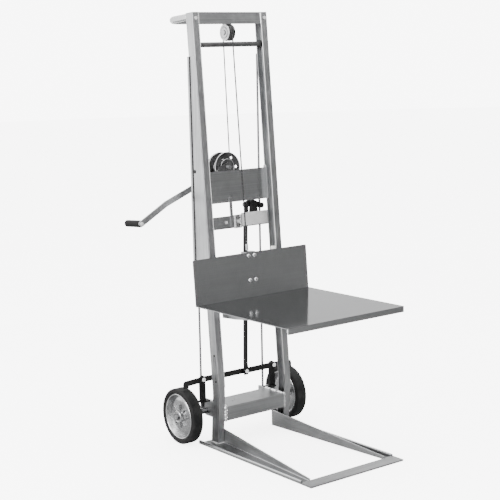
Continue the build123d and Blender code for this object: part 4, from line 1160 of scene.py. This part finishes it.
@dataclass
class Brake(SubAssembly):
    """Hand rocker, rod, levers and posts of the wheel brake."""

    palette: Palette
    pivot_faces: tuple[Spot, ...] = ((-0.160, 0.6247, 0.226), (0.160, 0.6194, 0.226))
    rod_faces: tuple[Spot, ...] = ((0.028, 0.6144, 0.226),)
    head_radius: float = 0.0075
    head_rise: float = 0.0032
    guide_face: float = 0.038
    guide_middle: float = 0.7955
    slot_places: tuple[float, ...] = (-0.0080, 0.0060)
    slot_gap: float = 0.013
    slot_radius: float = 0.0028
    slot_thick: float = 0.0004
    bolt_in: float = 0.010
    bolt_back: float = 0.009
    bolt_rise: float = 0.005
    bolt_head: float = 0.004
    finishes: dict[str, str] = field(default_factory=lambda: {
        "brake_rod": "black_coat",
        "brake_rocker": "black_coat",
        "left_brake_lever": "black_coat",
        "right_brake_lever": "black_coat",
        "left_brake_post": "black_coat",
        "right_brake_post": "black_coat",
        "rocker_bracket": "black_coat",
    })

    def build(self) -> None:
        """Paint black discs on the guide as painted shade in its holes, head the pivots and bolt the posts'
        feet down.
        """
        slots = Shaper("guide_slot_shade")
        for x in self.slot_places:
            middle = on_mast(x, self.guide_face, self.guide_middle)
            for side in SIDES:
                spot = middle + MAST_UP * (side * self.slot_gap)
                # black disc: painted shade of a hole
                slots.drum(spot, -MAST_BACK, self.slot_radius, self.slot_thick, 16)
        slots.finish("mast", "black_steel", self.palette, "black_coat")
        for name, body, places in (
            ("pivot_heads", "mast", self.pivot_faces), ("rod_head", "brake_rod", self.rod_faces),
        ):
            heads = Shaper(name)
            for place in places:
                heads.dome(Vector(place), FORWARD, self.head_radius, self.head_rise)
            heads.finish(body, "zinc_steel", self.palette, "clear_zinc")
        bolts = Shaper("post_bolts")
        for node in ("left_brake_post", "right_brake_post"):
            low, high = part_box(node)
            x = low.x + self.bolt_in if high.x > 0 else high.x - self.bolt_in
            spot = Vector((x, high.y - self.bolt_back, low.z + self.bolt_rise))
            bolts.bolt(spot, UPWARD, self.bolt_head)
        bolts.finish("mast", "zinc_steel", self.palette, "zinc_plate")


def hide_from_light(piece: bpy.types.Object) -> None:
    """Keep a stage piece from lighting or shading the truck.

    Args:
        piece: A card or the backdrop.
    """
    piece.visible_diffuse = False
    piece.visible_transmission = False
    piece.visible_shadow = False


@dataclass(frozen=True)
class SoftLight:
    """One square soft light of the studio."""

    name: str
    place: Spot
    aim: Spot
    side: float
    power: float

    def hang(self) -> None:
        """Hang the light and point it at its aim."""
        lamp = bpy.data.lights.new(self.name, "AREA")
        lamp.size = self.side
        lamp.energy = self.power
        holder = bpy.data.objects.new(self.name, lamp)
        holder.location = self.place
        holder.rotation_mode = "QUATERNION"
        holder.rotation_quaternion = (Vector(self.aim) - Vector(self.place)).to_track_quat("-Z", "Y")
        bpy.context.scene.collection.objects.link(holder)


@dataclass(frozen=True)
class GreyCard:
    """One grey card of the studio, which only the metal's gloss sees."""

    name: str
    place: Spot
    aim: Spot
    side: float
    grey: float

    def stand(self) -> None:
        """Stand the card so that it faces its aim."""
        bpy.ops.mesh.primitive_plane_add(size=self.side)
        card = bpy.context.object
        card.name = self.name
        turn = (Vector(self.aim) - Vector(self.place)).to_track_quat("Z", "Y").to_matrix().to_4x4()
        card.matrix_world = Matrix.Translation(self.place) @ turn
        card.data.materials.append(PaleFloor(self.name, (self.grey, self.grey, self.grey)).build())
        card.visible_camera = False
        hide_from_light(card)


@dataclass
class Studio:
    """Pale floor, backdrop, soft lights, grey cards and the photograph's camera."""

    camera_place: Spot = (-2.5894, -2.9213, 1.3594)
    yaw: float = math.radians(-36.83)
    pitch: float = math.radians(8.77)
    roll: float = math.radians(-1.74)
    focal_pixels: float = 1217.6
    sensor: float = 36.0
    room_strength: float = 3.2
    floor_side: float = 60.0
    floor_glow: float = 4.5
    backdrop_radius: float = 29.0
    backdrop_glow: float = 8.0
    floor_card: GreyCard = GreyCard("floor_card", (0, 0, 0.0005), (0, 0, 1), 6.0, 0.2)
    lights: tuple[SoftLight, ...] = (
        SoftLight("left_key", (-3.4, 0.2, 1.9), (0, 0.5, 0.8), 2.2, 130),
        SoftLight("top_panel", (0.2, 0.6, 4.2), (0, 0.4, 0.6), 3.0, 120),
    )
    cards: tuple[GreyCard, ...] = (
        GreyCard("right_card", (1.35, -1.35, 0.9), (0, 0.5, 0.95), 3.0, 0.08),
        GreyCard("rear_card", (2.5, 3.4, 1.2), (0, 0.3, 0.6), 3.0, 0.32),
    )

    def build(self) -> None:
        """Make the floor, the lights, the cards and the camera."""
        self._floor()
        self.floor_card.stand()
        self._room()
        for light in self.lights:
            light.hang()
        for card in self.cards:
            card.stand()
        self._camera()
        LOG.info("set up the studio")

    def _floor(self) -> None:
        """Lay a wide plain floor under a backdrop that only the camera sees."""
        bpy.ops.mesh.primitive_plane_add(size=self.floor_side)
        floor = bpy.context.object
        floor.name = "studio_floor"
        floor.data.materials.append(PaleFloor(glow=self.floor_glow).build())
        floor.visible_glossy = False
        floor.visible_diffuse = False
        bpy.ops.mesh.primitive_uv_sphere_add(radius=self.backdrop_radius, segments=48, ring_count=24)
        backdrop = bpy.context.object
        backdrop.name = "studio_backdrop"
        backdrop.data.materials.append(PaleFloor("studio_backdrop", (0, 0, 0), self.backdrop_glow).build())
        backdrop.visible_glossy = False
        hide_from_light(backdrop)

    def _room(self) -> None:
        """Fill the room with even white light."""
        world = bpy.data.worlds.new("studio_room")
        world.use_nodes = True
        background = world.node_tree.nodes["Background"]
        background.inputs["Color"].default_value = (1, 1, 1, 1)
        background.inputs["Strength"].default_value = self.room_strength
        bpy.context.scene.world = world

    def _camera(self) -> None:
        """Stand the camera where the photograph was taken from."""
        yaw_cos, yaw_sin = math.cos(self.yaw), math.sin(self.yaw)
        pitch_cos, pitch_sin = math.cos(self.pitch), math.sin(self.pitch)
        right = Vector((yaw_cos, yaw_sin, 0))
        ahead = Vector((-yaw_sin * pitch_cos, yaw_cos * pitch_cos, -pitch_sin))
        up = right.cross(ahead)
        side = right * math.cos(self.roll) + up * math.sin(self.roll)
        top = up * math.cos(self.roll) - right * math.sin(self.roll)
        lens = bpy.data.cameras.new("photo_camera")
        lens.sensor_width = self.sensor
        lens.lens = self.focal_pixels / IMAGE_SIDE * self.sensor
        camera = bpy.data.objects.new("photo_camera", lens)
        turn = Matrix((side, top, -ahead)).transposed().to_4x4()
        camera.matrix_world = Matrix.Translation(self.camera_place) @ turn
        bpy.context.scene.collection.objects.link(camera)
        bpy.context.scene.camera = camera


def main() -> None:
    """Dress the truck and build its studio."""
    logging.basicConfig(level=logging.INFO, format="%(name)s: %(message)s")
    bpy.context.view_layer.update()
    palette = Palette()
    for assembly in (
        Mast(palette), Winch(palette), LiftingCable(palette), Carriage(palette),
        WheelSet(palette), FloorFrame(palette), Brake(palette),
    ):
        assembly.dress()
        assembly.build()
    Studio().build()


if __name__ == "__main__":
    main()
